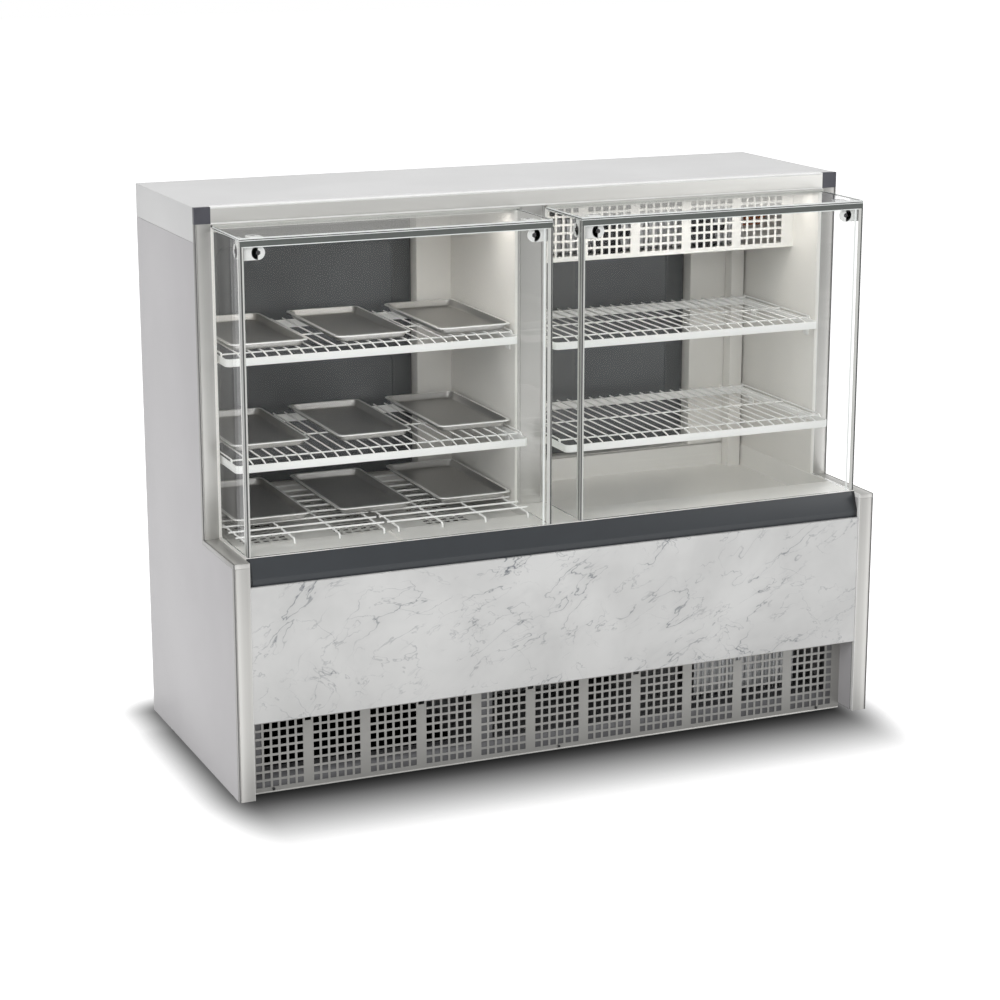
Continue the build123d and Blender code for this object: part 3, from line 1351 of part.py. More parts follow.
def drain_parts():
    """A plastic pipe from the tub's drain, and the tray that holds the melt water until it dries off."""
    x, y = drain_x(), drain_y()
    seat = TUBE + UNIT_PLATE
    rim = seat + TRAY_HEIGHT
    radius = DRAIN_RADIUS - PIN_FIT
    pipe = rod((x, y, rim - 20.0), (x, y, TUB_FLOOR + TUB_WALL), radius)
    pipe -= rod((x, y, rim - 21.0), (x, y, TUB_FLOOR + TUB_WALL + 1), radius - TRAY_WALL)
    x0 = x - TRAY_OFFSET
    y0 = y - TRAY_OFFSET
    tray = slab(x0, x0 + TRAY_WIDTH, y0, y0 + TRAY_WIDTH, seat, rim)
    wall = TRAY_WALL
    tray -= slab(x0 + wall, x0 + TRAY_WIDTH - wall, y0 + wall, y0 + TRAY_WIDTH - wall, seat + wall, rim + 1)
    return group([pipe, tray])


def build():
    """Every node by its name."""
    nodes = {}
    nodes["side_panel_left"] = side_panel()
    nodes["side_panel_right"] = flip(side_panel())
    nodes["edge_trims"] = group(side_trims() + [flip(trim) for trim in side_trims()] + [divider_trim()])
    nodes["corner_caps"] = group([corner_cap(), flip(corner_cap())])
    nodes["top_front_rail"] = top_front_rail()
    nodes["top_cover"] = top_cover()
    liners = [side_liner(), flip(side_liner())]
    liners += [ceiling_liner(bay) for bay in BAYS]
    liners += [divider_liner(bay) for bay in BAYS]
    nodes["inner_liners"] = group(liners)
    nodes["centre_divider"] = centre_divider()
    nodes["rear_wall"] = rear_wall()
    nodes["hinge_brackets"] = hinge_brackets()
    nodes["glass_connectors"] = glass_connectors()
    nodes["glass_seals"] = group([glass_seal(bay) for bay in BAYS])
    nodes["light_bars"] = group([light_bar(bay) for bay in BAYS] + [light_diffuser(bay) for bay in BAYS])
    for bay in BAYS:
        nodes["glass_" + bay] = group(glass_panes(bay))
        nodes["door_shell_" + bay] = door_shell(bay)
        nodes["door_liner_" + bay] = door_liner(bay)
        nodes["door_gasket_" + bay] = door_gasket(bay)
        nodes["tub_" + bay] = tub(bay)
    nodes["insulated_floor"] = group([cabinet_floor(), front_upstand()])
    nodes["sill_plates"] = sill_plates()
    nodes["base_grille"] = base_grille()
    nodes["evaporator_cover"] = evaporator_cover()
    nodes["evaporator_coil"] = evaporator_coil()
    nodes["fan_motors"] = fan_motors()
    nodes["evaporator_fan_left"] = evaporator_fan(0)
    nodes["evaporator_fan_right"] = evaporator_fan(1)
    nodes["shelves"] = group([shelf(name) for name in SHELVES])
    nodes["shelf_clips"] = shelf_clips()
    nodes["floor_racks"] = group([rack(x0, x1) for x0, x1 in rack_spans()])
    nodes["pans"] = pans()
    nodes["heater_cover"] = heater_cover()
    nodes["heater_elements"] = heater_elements()
    nodes["front_panel"] = front_panel()
    nodes["bumper"] = bumper()
    nodes["base_frame"] = base_frame()
    nodes["rear_service_panel"] = rear_service_panel()
    nodes["cable_gland"] = cable_gland()
    nodes["control_panel"] = control_panel()
    nodes["control_fittings"] = control_fittings()
    nodes["thermostat_knob"] = thermostat_knob()
    nodes["heater_switch"] = rocker("heater")
    nodes["light_switch"] = rocker("light")
    for number in range(BUTTONS):
        nodes["controller_button_" + str(number + 1)] = button(number)
    nodes["compressor"] = compressor()
    nodes["condenser"] = condenser()
    nodes["condenser_fan"] = condenser_fan()
    nodes["pipe_duct"] = pipe_duct()
    nodes["pipes"] = pipes()
    nodes["drain_parts"] = drain_parts()
    for number, place in enumerate(("front_left", "front_right", "back_left", "back_right")):
        nodes["foot_" + place] = foot(number)
    return nodes


def export(nodes):
    os.makedirs("parts", exist_ok=True)
    for name, piece in nodes.items():
        moved = Pos(-WIDTH / 2, -DEPTH / 2, FOOT_HEIGHT) * piece
        export_step(moved, "parts/" + name + ".step")


export(build())
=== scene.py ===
"""The looks of a counter display case with a heated bay and a chilled bay.

Laid out as an add-on and run as a script. Lengths in the drawing are in mm: x from the left outer
face, y from the front of the lower sides towards the back, z from the lower edge of the sides.
"""
import math

import bmesh
import bpy
from mathutils import Matrix, Vector


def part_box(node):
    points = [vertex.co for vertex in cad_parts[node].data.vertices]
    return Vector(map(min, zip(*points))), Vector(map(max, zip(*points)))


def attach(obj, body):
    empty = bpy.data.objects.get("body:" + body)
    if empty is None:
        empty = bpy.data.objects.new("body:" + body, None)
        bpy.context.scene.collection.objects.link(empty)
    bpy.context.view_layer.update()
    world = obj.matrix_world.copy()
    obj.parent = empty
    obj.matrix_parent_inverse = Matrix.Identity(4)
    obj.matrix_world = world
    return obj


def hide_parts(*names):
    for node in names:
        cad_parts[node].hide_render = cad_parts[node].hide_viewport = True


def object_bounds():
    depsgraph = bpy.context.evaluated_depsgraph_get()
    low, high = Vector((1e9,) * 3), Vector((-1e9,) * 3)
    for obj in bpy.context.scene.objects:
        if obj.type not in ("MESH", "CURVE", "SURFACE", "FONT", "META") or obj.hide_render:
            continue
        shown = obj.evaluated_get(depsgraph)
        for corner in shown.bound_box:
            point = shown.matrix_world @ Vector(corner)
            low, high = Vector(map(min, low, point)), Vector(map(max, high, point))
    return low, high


bl_info = {
    "name": "Counter display case",
    "version": (1, 0, 0),
    "blender": (4, 5, 0),
    "location": "View3D > Sidebar > Case",
    "description": "Builds a glass-fronted counter display case piece by piece",
    "category": "Add Mesh",
}

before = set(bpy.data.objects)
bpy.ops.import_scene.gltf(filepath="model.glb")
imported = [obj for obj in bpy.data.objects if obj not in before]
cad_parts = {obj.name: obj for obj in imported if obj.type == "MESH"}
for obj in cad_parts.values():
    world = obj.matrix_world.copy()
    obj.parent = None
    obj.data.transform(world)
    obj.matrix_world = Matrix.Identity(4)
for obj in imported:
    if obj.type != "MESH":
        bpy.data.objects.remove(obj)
CAD_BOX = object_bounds()
MM = 0.001
MERGED = 0.01 * MM
LOW, HIGH = Vector(CAD_BOX[0]), Vector(CAD_BOX[1])
WIDTH = (HIGH.x - LOW.x) / MM
FLOOR_DROP = -55.0
BAYS = {"warm": (52.0, 828.5), "cold": (921.5, 1698.0)}

# Places in the drawing that several pieces share
PROFILE = 41.0
PROFILE_BACK = 12.0
UPPER_FRONT = 240.0
UPPER_BACK = UPPER_FRONT + PROFILE_BACK
BUMPER_LOW = 534.0
LEDGE = 597.0
RAIL_LOW, CAP_LOW, RAIL_TOP = 1368.0, 1370.0, 1410.0
GRILLE_FRONT = 71.2
PANE = 8.0


def at(x, y, z):
    """A point of the drawing, in mm, as a place in the scene."""
    return Vector((LOW.x + x * MM, LOW.y + y * MM, LOW.z + (z - FLOOR_DROP) * MM))


def in_drawing(point):
    """A place in the scene as a point of the drawing, in mm."""
    x, y, z = ((point[axis] - LOW[axis]) / MM for axis in range(3))
    return Vector((x, y, z + FLOOR_DROP))


def drawn(node):
    """A node's lowest and highest corner as points of the drawing, in mm."""
    return [in_drawing(corner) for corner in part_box(node)]


def shade(red, green, blue):
    """A colour read off a screen, from 0 to 255, as light."""
    steps = []
    for level in (red, green, blue):
        level /= 255
        steps.append(level / 12.92 if level <= 0.04045 else ((level + 0.055) / 1.055) ** 2.4)
    return tuple(steps)


# What a user would change

def length(name, description, default):
    return bpy.props.FloatProperty(name=name, description=description, default=default, unit="LENGTH")


def tone(name, description, *levels):
    return bpy.props.FloatVectorProperty(name=name, description=description, subtype="COLOR",
                                         default=shade(*levels))


class CaseSizes(bpy.types.PropertyGroup):
    """Sizes of the dressed pieces."""

    wire: length("Wire radius", "Radius of a shelf wire", 0.002)
    rack_wire: length("Rack wire radius", "Radius of a floor rack's wire", 0.0025)
    edge: length("Edge rounding", "Rounding of folded sheet edges", 0.0015)
    glass_edge: length("Glass chamfer", "Chamfer on polished glass edges", 0.0009)
    vein: bpy.props.FloatProperty(
        name="Vein size", description="Size of the stone pattern", default=1.0, min=0.2)
    led: bpy.props.FloatProperty(
        name="Light bars", description="Brightness of the light bars", default=11.0, min=0.0)


class CaseColours(bpy.types.PropertyGroup):
    """Colours of the finishes."""

    sides: tone("Sides", "Side panels", 194, 192, 194)
    top: tone("Top", "Top cover", 214, 214, 214)
    profiles: tone("Profiles", "Edge profiles", 197, 196, 193)
    liners: tone("Liners", "Inner walls and shelves", 236, 234, 230)
    doors: tone("Doors", "Door liners", 84, 87, 89)
    bumper: tone("Bumper", "Front bumper", 37, 42, 47)
    grille: tone("Grille", "Base grille", 155, 154, 151)
    stone: tone("Stone", "Ground of the stone", 221, 221, 220)
    veins: tone("Veins", "Veins of the stone", 120, 124, 130)


# Materials: numbers flow between nodes and are written as plain sums

def socket(sockets, name):
    """A socket by number, identifier or name."""
    if isinstance(name, int):
        return sockets[name]
    for one in sockets:
        if one.identifier == name:
            return one
    return sockets[name]


class Value:
    """A number or colour on a link. Sums on it add Math nodes to its tree."""

    def __init__(self, tree, link):
        self.tree = tree
        self.link = link

    def math(self, operation, *inputs):
        return self.tree.add("ShaderNodeMath", {"operation": operation}, dict(enumerate(inputs)))

    def __add__(self, other):
        return self.math("ADD", self, other)

    def __sub__(self, other):
        return self.math("SUBTRACT", self, other)

    def __rsub__(self, other):
        return self.math("SUBTRACT", other, self)

    def __mul__(self, other):
        return self.math("MULTIPLY", self, other)

    def __truediv__(self, other):
        return self.math("DIVIDE", self, other)

    def __pow__(self, other):
        return self.math("POWER", self, other)

    def __abs__(self):
        return self.math("ABSOLUTE", self)

    def most(self, other):
        return self.math("MAXIMUM", self, other)

    __radd__ = __add__
    __rmul__ = __mul__

    def between(self, low, high):
        """Goes smoothly from 0 at low to 1 at high."""
        inputs = {"Value": self, "From Min": low, "From Max": high}
        return self.tree.add("ShaderNodeMapRange", {"interpolation_type": "SMOOTHSTEP"}, inputs)


class Tree:
    """A node tree and the few kinds of node that the finishes need."""

    def __init__(self, tree):
        self.tree = tree
        tree.nodes.clear()

    def node(self, kind, settings, inputs):
        node = self.tree.nodes.new(kind)
        for name, value in settings.items():
            if name == "stops":
                for place, colour in value[1:-1]:
                    node.color_ramp.elements.new(place)
                for element, (place, colour) in zip(node.color_ramp.elements, value):
                    element.position = place
                    element.color = tuple(colour) + (1.0,)
            else:
                setattr(node, name, value)
        for name, value in inputs.items():
            target = socket(node.inputs, name)
            if isinstance(value, Value):
                self.tree.links.new(value.link, target)
            else:
                target.default_value = value
        return node

    def add(self, kind, settings, inputs, output=0):
        """A node's output as a value."""
        node = self.node(kind, settings, inputs)
        return Value(self, socket(node.outputs, output))

    def place(self, scale=(1, 1, 1)):
        """The surface point in metres, stretched."""
        point = self.add("ShaderNodeTexCoord", {}, {}, "Object")
        return self.mapped(point, Scale=scale)

    def mapped(self, point, **settings):
        return self.add("ShaderNodeMapping", {}, {"Vector": point, **settings})

    def part(self, axis):
        """One coordinate of the surface point, in metres."""
        return self.add("ShaderNodeSeparateXYZ", {}, {"Vector": self.place()}, axis)

    def noise(self, point, scale, detail=2.0, roughness=0.5):
        inputs = {"Vector": point, "Scale": scale, "Detail": detail, "Roughness": roughness}
        return self.add("ShaderNodeTexNoise", {}, inputs)

    def warp(self, point, scale, amount):
        """The point pushed about by soft noise."""
        push = self.add("ShaderNodeTexNoise", {}, {"Vector": point, "Scale": scale, "Detail": 3.0}, "Color")
        centred = self.add("ShaderNodeVectorMath", {"operation": "SUBTRACT"}, {0: push, 1: (0.5, 0.5, 0.5)})
        scaled = self.add("ShaderNodeVectorMath", {"operation": "SCALE"}, {0: centred, "Scale": amount})
        return self.add("ShaderNodeVectorMath", {"operation": "ADD"}, {0: point, 1: scaled})

    def blend(self, low, high, share, kind="MIX"):
        """A colour between two, or their product, by a share from 0 to 1."""
        inputs = {"Factor_Float": share, "A_Color": low, "B_Color": high}
        return self.add("ShaderNodeMix", {"data_type": "RGBA", "blend_type": kind}, inputs, "Result_Color")

    def bump(self, height, distance):
        return self.add("ShaderNodeBump", {}, {"Height": height, "Distance": distance})

    def path(self, kind):
        return self.add("ShaderNodeLightPath", {}, {}, kind)


def full(colour, factor=1.0):
    """A colour with its fourth number, made lighter or darker."""
    return tuple(min(level * factor, 1.0) for level in colour) + (1.0,)


def finish(name, inputs):
    """A material whose surface is one principled shader, and its tree."""
    material = bpy.data.materials.new(name)
    material.use_nodes = True
    tree = Tree(material.node_tree)
    made = inputs(tree)
    surface = tree.add("ShaderNodeBsdfPrincipled", {}, made, "BSDF")
    tree.node("ShaderNodeOutputMaterial", {}, {"Surface": surface})
    return material


def coat(name, colour, roughness=0.42, grain=0.00004, metallic=0.0):
    """Powder coat: a fine orange peel and a faint unevenness of tone."""
    def inputs(tree):
        point = tree.place()
        peel = tree.noise(point, 420.0, 2.0)
        cloud = tree.noise(point, 3.0, 3.0)
        return {
            "Base Color": tree.blend(full(colour, 0.965), full(colour, 1.03), cloud.between(0.3, 0.7)),
            "Roughness": roughness + (peel - 0.5) * 0.12,
            "Metallic": metallic,
            "Normal": tree.bump(peel, grain),
        }
    return finish(name, inputs)


def brushed(name, colour, along, roughness, contrast, metallic=1.0):
    """Brushed metal with streaks along one axis, and a few handling marks."""
    def inputs(tree):
        stretch = [320.0, 320.0, 320.0]
        stretch[along] = 2.5
        streak = tree.noise(tree.place(scale=tuple(stretch)), 1.0, 3.0, 0.6)
        mark = tree.noise(tree.place(), 9.0, 4.0, 0.6).between(0.5, 0.75)
        return {
            "Base Color": tree.blend(full(colour, 1.0 - contrast), full(colour, 1.0 + contrast), streak),
            "Roughness": roughness + streak * 0.14 + mark * 0.05,
            "Metallic": metallic,
            "Normal": tree.bump(streak, 0.00003),
        }
    return finish(name, inputs)


def moulded(name, colour, roughness=0.5, grain=0.00006, coat_weight=0.0):
    """Moulded plastic or rubber with a fine spark texture and slight wear of the gloss."""
    def inputs(tree):
        point = tree.place()
        wear = tree.noise(point, 14.0, 4.0, 0.6)
        made = {
            "Base Color": tree.blend(full(colour, 0.96), full(colour, 1.04), wear.between(0.35, 0.7)),
            "Roughness": roughness + (wear - 0.5) * 0.16,
            "Coat Weight": coat_weight,
            "Coat Roughness": 0.2,
        }
        if grain:
            made["Normal"] = tree.bump(tree.noise(point, 900.0, 1.0), grain)
        return made
    return finish(name, inputs)


def drawn_profile(name, colour):
    """Anodised profile whose concave face has light and shade painted across it: bright and dark bands,
    painted shade at its outer edge and painted shade towards the top.
    """
    def inputs(tree):
        streak = tree.noise(tree.place(scale=(500.0, 500.0, 1.2)), 1.0, 3.0, 0.6)
        across, height = abs(tree.part("X")), tree.part("Z")
        share = (across - (WIDTH / 2 - PROFILE) * MM) / (PROFILE * MM)
        # Painted light and shade across the face: bright and dark bands, and painted shade at the outer edge
        levels = ((0.0, 0.92), (0.2, 0.84), (0.5, 0.9), (0.74, 1.08), (0.88, 0.98), (1.0, 0.5))
        stops = [(place, full(colour, level)[:3]) for place, level in levels]
        painted_band_shading = tree.add("ShaderNodeValToRGB", {"stops": stops}, {"Fac": share}, "Color")
        # Painted shade: the face is darker towards the top
        upper = tree.blend(painted_band_shading, (0.74, 0.74, 0.74, 1), height.between(0.6, 1.3), "MULTIPLY")
        return {
            "Base Color": tree.blend(upper, full(colour, 0.8), streak.between(0.4, 0.8) * 0.2),
            "Roughness": 0.3 + streak * 0.1,
            "Metallic": 0.6,
            "Normal": tree.bump(streak, 0.00002),
        }
    return finish(name, inputs)


def long_profile(name, colour):
    """Satin profile that runs along the front, with a painted highlight that grows towards the right."""
    def inputs(tree):
        streak = tree.noise(tree.place(scale=(2.5, 320.0, 320.0)), 1.0, 3.0, 0.6)
        # Painted light: the colour grows lighter towards the right
        right = tree.part("X").between(-0.5, 0.9)
        return {
            "Base Color": tree.blend(full(colour, 1.04), full(colour, 1.5), right),
            "Roughness": 0.34 + streak * 0.1,
            "Metallic": 0.4,
            "Normal": tree.bump(streak, 0.00002),
        }
    return finish(name, inputs)


def polished(name, colour, roughness):
    """Bare bright metal with faint haze."""
    def inputs(tree):
        haze = tree.noise(tree.place(), 30.0, 3.0)
        return {
            "Base Color": tree.blend(full(colour, 0.95), full(colour, 1.05), haze),
            "Roughness": roughness + haze * 0.06,
            "Metallic": 1.0,
        }
    return finish(name, inputs)


def clear_glass():
    """Clear float glass that lets the lamps through to what stands behind it."""
    material = bpy.data.materials.new("clear glass")
    material.use_nodes = True
    tree = Tree(material.node_tree)
    glass = tree.add("ShaderNodeBsdfPrincipled", {}, {
        "Base Color": (1, 1, 1, 1), "Roughness": 0.0, "IOR": 1.13, "Transmission Weight": 1.0}, "BSDF")
    through = tree.add("ShaderNodeBsdfTransparent", {}, {"Color": full(shade(253, 254, 253))})
    lamp = tree.path("Is Shadow Ray").most(tree.path("Is Diffuse Ray"))
    both = tree.add("ShaderNodeMixShader", {}, {"Fac": lamp, 1: glass, 2: through})
    tree.node("ShaderNodeOutputMaterial", {}, {"Surface": both})
    return material


def stone():
    """White stone with soft grey clouds and thin ragged veins that lean, branch and fade."""
    sizes = bpy.context.scene.case_sizes
    colours = bpy.context.scene.case_colours

    def inputs(tree):
        wide = tree.warp(tree.place(), 1.5 / sizes.vein, 0.34)
        ragged = tree.warp(wide, 34.0, 0.012)

        def veins(lean, scale, width, low, high, shift):
            """Lines where ragged noise crosses its middle, drawn out along a lean, in patches."""
            turned = tree.mapped(ragged, Rotation=(0, math.radians(lean), 0))
            drawn_out = tree.mapped(turned, Scale=(1.0, 1.0, 2.3), Location=shift)
            ridge = abs(tree.noise(drawn_out, scale / sizes.vein, 4.0, 0.56) - 0.5)
            patch = tree.noise(drawn_out, scale * 0.9 / sizes.vein, 3.0).between(low, high)
            return (1.0 - ridge.between(0.0, width)) * patch

        long_veins = veins(34, 4.2, 0.01, 0.43, 0.62, (0.0, 0.0, 0.0))
        fine_veins = veins(28, 9.0, 0.02, 0.45, 0.64, (7.3, 2.2, 5.9))
        cross_veins = veins(-38, 5.4, 0.011, 0.46, 0.64, (3.1, 0.4, 1.7))
        halo = veins(34, 4.2, 0.09, 0.43, 0.64, (0.0, 0.0, 0.0))
        cloud = tree.noise(wide, 3.4, 4.0, 0.6)
        line = long_veins * 0.62 + fine_veins * 0.44 + cross_veins * 0.46
        share = (line + halo * 0.17).between(-0.05, 1.15)
        ground = tree.blend(full(colours.stone, 0.88), full(colours.stone, 1.04), cloud.between(0.3, 0.7))
        return {
            "Base Color": tree.blend(ground, full(colours.veins), share),
            "Roughness": 0.3 + cloud * 0.06,
            "Coat Weight": 0.2,
            "Coat Roughness": 0.12,
        }
    return finish("white stone laminate", inputs)


def glowing(name, colour, strength):
    """A lit diffuser or display."""
    def inputs(tree):
        soft = tree.noise(tree.place(), 60.0, 2.0)
        return {
            "Base Color": tree.blend(full(colour, 0.97), full(colour, 1.0), soft),
            "Roughness": 0.4,
            "Emission Color": full(colour),
            "Emission Strength": strength,
        }
    return finish(name, inputs)


FINISHES = {}


def make_finishes():
    """Every finish by the name that the pieces use."""
    colours = bpy.context.scene.case_colours
    sizes = bpy.context.scene.case_sizes
    FINISHES.update({
        "side": coat("side coat", colours.sides, 0.4),
        "top": coat("top coat", colours.top, 0.4),
        "profile": drawn_profile("satin profile", colours.profiles),
        # The lip finish is a painted highlight on the edges of the profiles and the rail
        "lip": moulded("painted edge highlight", shade(252, 252, 250), 0.22, 0.0, 0.4),
        "shade line": moulded("shaded return", shade(108, 108, 108), 0.4),
        "profile x": long_profile("satin profile lengthwise", colours.profiles),
        "cap": moulded("cap plastic", shade(74, 74, 82), 0.42),
        "liner": coat("white liner coat", colours.liners, 0.36),
        "wire": coat("white wire coat", shade(251, 251, 250), 0.3),
        "cover": coat("white cover coat", shade(242, 241, 238), 0.36),
        "stainless": brushed("brushed stainless", shade(238, 237, 234), 0, 0.34, 0.05, 0.35),
        "pan": brushed("pan steel", shade(190, 189, 187), 1, 0.32, 0.08),
        # The pan rim finish is lighter steel: a painted highlight on the rolled rim
        "pan rim highlight": brushed("pan rim steel, painted highlight", shade(246, 246, 244), 1, 0.24, 0.03, 0.5),
        "grille": coat("grille coat", colours.grille, 0.34, metallic=0.35),
        # Near-black painted shade for faces that lie in shade: low inner faces of the sides, the floor's
        # underside and the service panel's inner face
        "inside": coat("unlit inner face", shade(44, 44, 46), 0.6),
        "sheet": coat("grey sheet coat", shade(168, 168, 168), 0.42),
        "frame": coat("frame coat", shade(96, 96, 98), 0.45),
        "stone": stone(),
        "bumper": moulded("bumper plastic", colours.bumper, 0.42, 0.00003, 0.15),
        # Near-black bumper ends: partly end caps, partly painted shade of the gaps beside the side profiles
        "bumper end": moulded("dark bumper end", shade(30, 32, 35), 0.5),
        "glass": clear_glass(),
        # Opaque glass finishes: painted reflections of the pane edges, and white painted highlights
        "glass edge": moulded("glass edge band", shade(70, 76, 72), 0.2, 0.0, 0.5),
        "glass line": moulded("glass edge line", shade(26, 28, 28), 0.2, 0.0, 0.5),
        "glass highlight": moulded("glass chamfer highlight", shade(240, 244, 242), 0.15, 0.0, 0.6),
        "glass strip": moulded("glass corner strip", shade(206, 207, 203), 0.2, 0.0, 0.5),
        "glass grey": moulded("glass corner strip, grey", shade(156, 157, 154), 0.2, 0.0, 0.5),
        # The plated connectors are painted flat bright white, a painted reflection of the white surroundings
        "chrome": moulded("plated fitting, painted white reflection", shade(254, 254, 253), 0.16, 0.0, 0.6),
        "seal": moulded("pale seal", shade(200, 200, 196), 0.4),
        "led": glowing("light diffuser", (1.0, 0.96, 0.9), sizes.led),
        "door": moulded("door liner plastic", colours.doors, 0.34, 0.0, 0.2),
        "shell": coat("door coat", shade(120, 121, 122), 0.4),
        "gasket": moulded("gasket rubber", shade(58, 58, 60), 0.6),
        "rubber": moulded("foot rubber", shade(34, 34, 35), 0.7),
        "black": moulded("black plastic", shade(32, 32, 34), 0.4),
        "dark metal": coat("black enamel", shade(30, 31, 33), 0.3),
        "steel": polished("zinc steel", shade(180, 180, 178), 0.25),
        "copper": polished("bare copper", shade(196, 122, 84), 0.2),
        "fins": brushed("aluminium fins", shade(196, 197, 198), 2, 0.34, 0.12),
        "element": brushed("heater steel", shade(112, 104, 96), 0, 0.34, 0.2),
        "drain": moulded("drain plastic", shade(160, 162, 164), 0.5),
        "key": moulded("green key", shade(34, 112, 52), 0.24, 0.0, 0.5),
        "mark": moulded("white print", shade(226, 226, 226), 0.5),
        "display": moulded("display window", shade(24, 10, 12), 0.12, 0.0, 0.6),
        "digit": glowing("display digit", (1.0, 0.1, 0.06), 1.6),
    })


# Modelling helpers, in the drawing's mm

def cleared():
    """Nothing is selected."""
    bpy.ops.object.select_all(action="DESELECT")


def alone(piece):
    """Only this piece is selected and active."""
    cleared()
    piece.select_set(True)
    bpy.context.view_layer.objects.active = piece


def settled(piece, name, axis=None):
    """The new piece is turned to its axis, if it has one, and its place goes into its mesh."""
    if axis is not None:
        piece.rotation_euler = axis.to_track_quat("Z", "Y").to_euler()
    alone(piece)
    piece.name = name
    bpy.ops.object.transform_apply(location=True, rotation=True, scale=True)
    return piece


def block(name, low, high):
    """A cube stretched between two corners."""
    start, end = at(*low), at(*high)
    cleared()
    bpy.ops.mesh.primitive_cube_add(size=1.0, location=(start + end) / 2)
    piece = bpy.context.active_object
    piece.scale = end - start
    return settled(piece, name)


def rod(name, start, end, radius, sides=24):
    """A round bar from one point to another; its radius is in mm."""
    a, b = at(*start), at(*end)
    cleared()
    bpy.ops.mesh.primitive_cylinder_add(vertices=sides, radius=radius * MM, depth=(b - a).length,
                                        location=(a + b) / 2)
    return settled(bpy.context.active_object, name, b - a)


def cone(name, start, end, radius, tip, sides=32):
    """A round bar that narrows from its start to its end."""
    a, b = at(*start), at(*end)
    cleared()
    bpy.ops.mesh.primitive_cone_add(vertices=sides, radius1=radius * MM, radius2=tip * MM,
                                    depth=(b - a).length, location=(a + b) / 2)
    return settled(bpy.context.active_object, name, b - a)


def ring(name, centre, axis, radius, thick):
    """A round bead about an axis."""
    cleared()
    bpy.ops.mesh.primitive_torus_add(major_radius=radius * MM, minor_radius=thick * MM, major_segments=32,
                                     minor_segments=8, location=at(*centre))
    return settled(bpy.context.active_object, name, Vector(axis))


def edit(piece, kind, test):
    """Goes into edit mode with the faces or edges that pass a test selected."""
    alone(piece)
    bpy.ops.object.mode_set(mode="EDIT")
    bpy.ops.mesh.select_mode(type=kind)
    bpy.ops.mesh.select_all(action="DESELECT")
    mesh = bmesh.from_edit_mesh(piece.data)
    if kind == "FACE":
        for face in mesh.faces:
            face.select_set(bool(test(face.calc_center_median(), face.normal)))
    else:
        for edge in mesh.edges:
            edge.select_set(bool(test(edge.verts[0].co, edge.verts[1].co)))
    bmesh.update_edit_mesh(piece.data)


def done():
    bpy.ops.object.mode_set(mode="OBJECT")


def every(centre, normal):
    """The test that all faces pass."""
    return True


def looking(x=0, y=0, z=0):
    """A test for the faces that look along one axis."""
    side = Vector((x, y, z))
    return lambda centre, normal: normal.dot(side) > 0.9


def running(axis, least=0.001):
    """A test for the edges that run along an axis, over a least length in metres."""
    return lambda a, b: abs(a[axis] - b[axis]) > least


def cut(piece, axis, places):
    """Extra edges right round the piece at places along an axis, in the drawing's mm."""
    across = Vector.Fill(3, 0.0)
    across[axis] = 1.0
    for place in places:
        edit(piece, "FACE", every)
        bpy.ops.mesh.bisect(plane_co=at(*(place * share for share in across)), plane_no=across)
        done()


def pushed(piece, test, shift, inset=0.0):
    """The faces that pass the test are inset, and then pushed by a shift in mm."""
    edit(piece, "FACE", test)
    if inset:
        bpy.ops.mesh.inset(thickness=inset * MM, depth=0.0)
    bpy.ops.mesh.extrude_region()
    bpy.ops.transform.translate(value=Vector(shift) * MM)
    done()


def channel(piece, axis, low, high, side, depth):
    """A groove in the faces that look along side, between two places along an axis."""
    cut(piece, axis, (low, high))
    start, end = at(low, low, low)[axis], at(high, high, high)[axis]
    look = Vector(side)
    pushed(piece, lambda centre, normal: start < centre[axis] < end and normal.dot(look) > 0.9, look * -depth)
    return piece


def modified(piece, kind, **settings):
    """A modifier is added, set and applied."""
    alone(piece)
    modifier = piece.modifiers.new(kind.lower(), kind)
    for name, value in settings.items():
        setattr(modifier, name, value)
    bpy.ops.object.modifier_apply(modifier=modifier.name)


def softened(piece, width=None, segments=2, angle=40):
    """Edges are rounded, and the faces are shaded smooth up to an angle."""
    width = bpy.context.scene.case_sizes.edge if width is None else width * MM
    modified(piece, "BEVEL", width=width, segments=segments, limit_method="ANGLE",
             angle_limit=math.radians(angle), harden_normals=False)
    return smooth(piece)


def smooth(piece, angle=35):
    alone(piece)
    bpy.ops.object.shade_smooth_by_angle(angle=math.radians(angle))
    return piece


def rounded_edges(piece, test, radius, segments=5):
    """The edges that pass the test are rounded with their own radius."""
    edit(piece, "EDGE", test)
    bpy.ops.mesh.bevel(offset=radius * MM, segments=segments, affect="EDGES")
    done()


def copied(piece, shift):
    """A copy with its own mesh, moved by a shift in mm."""
    twin = piece.copy()
    twin.data = piece.data.copy()
    twin.data.transform(Matrix.Translation(Vector(shift) * MM))
    bpy.context.scene.collection.objects.link(twin)
    return twin


def mirrored(piece):
    """The same piece on the other side of the middle."""
    twin = piece.copy()
    twin.data = piece.data.copy()
    twin.data.transform(Matrix.Scale(-1, 4, (1, 0, 0)))
    bpy.context.scene.collection.objects.link(twin)
    edit(twin, "FACE", every)
    bpy.ops.mesh.remove_doubles(threshold=MERGED)
    bpy.ops.mesh.normals_make_consistent(inside=False)
    done()
    return twin


def joined(name, pieces):
    cleared()
    for piece in pieces:
        piece.select_set(True)
    bpy.context.view_layer.objects.active = pieces[0]
    if len(pieces) > 1:
        bpy.ops.object.join()
    pieces[0].name = name
    return pieces[0]


def painted(piece, name):
    piece.data.materials.clear()
    piece.data.materials.append(FINISHES[name])
    return piece


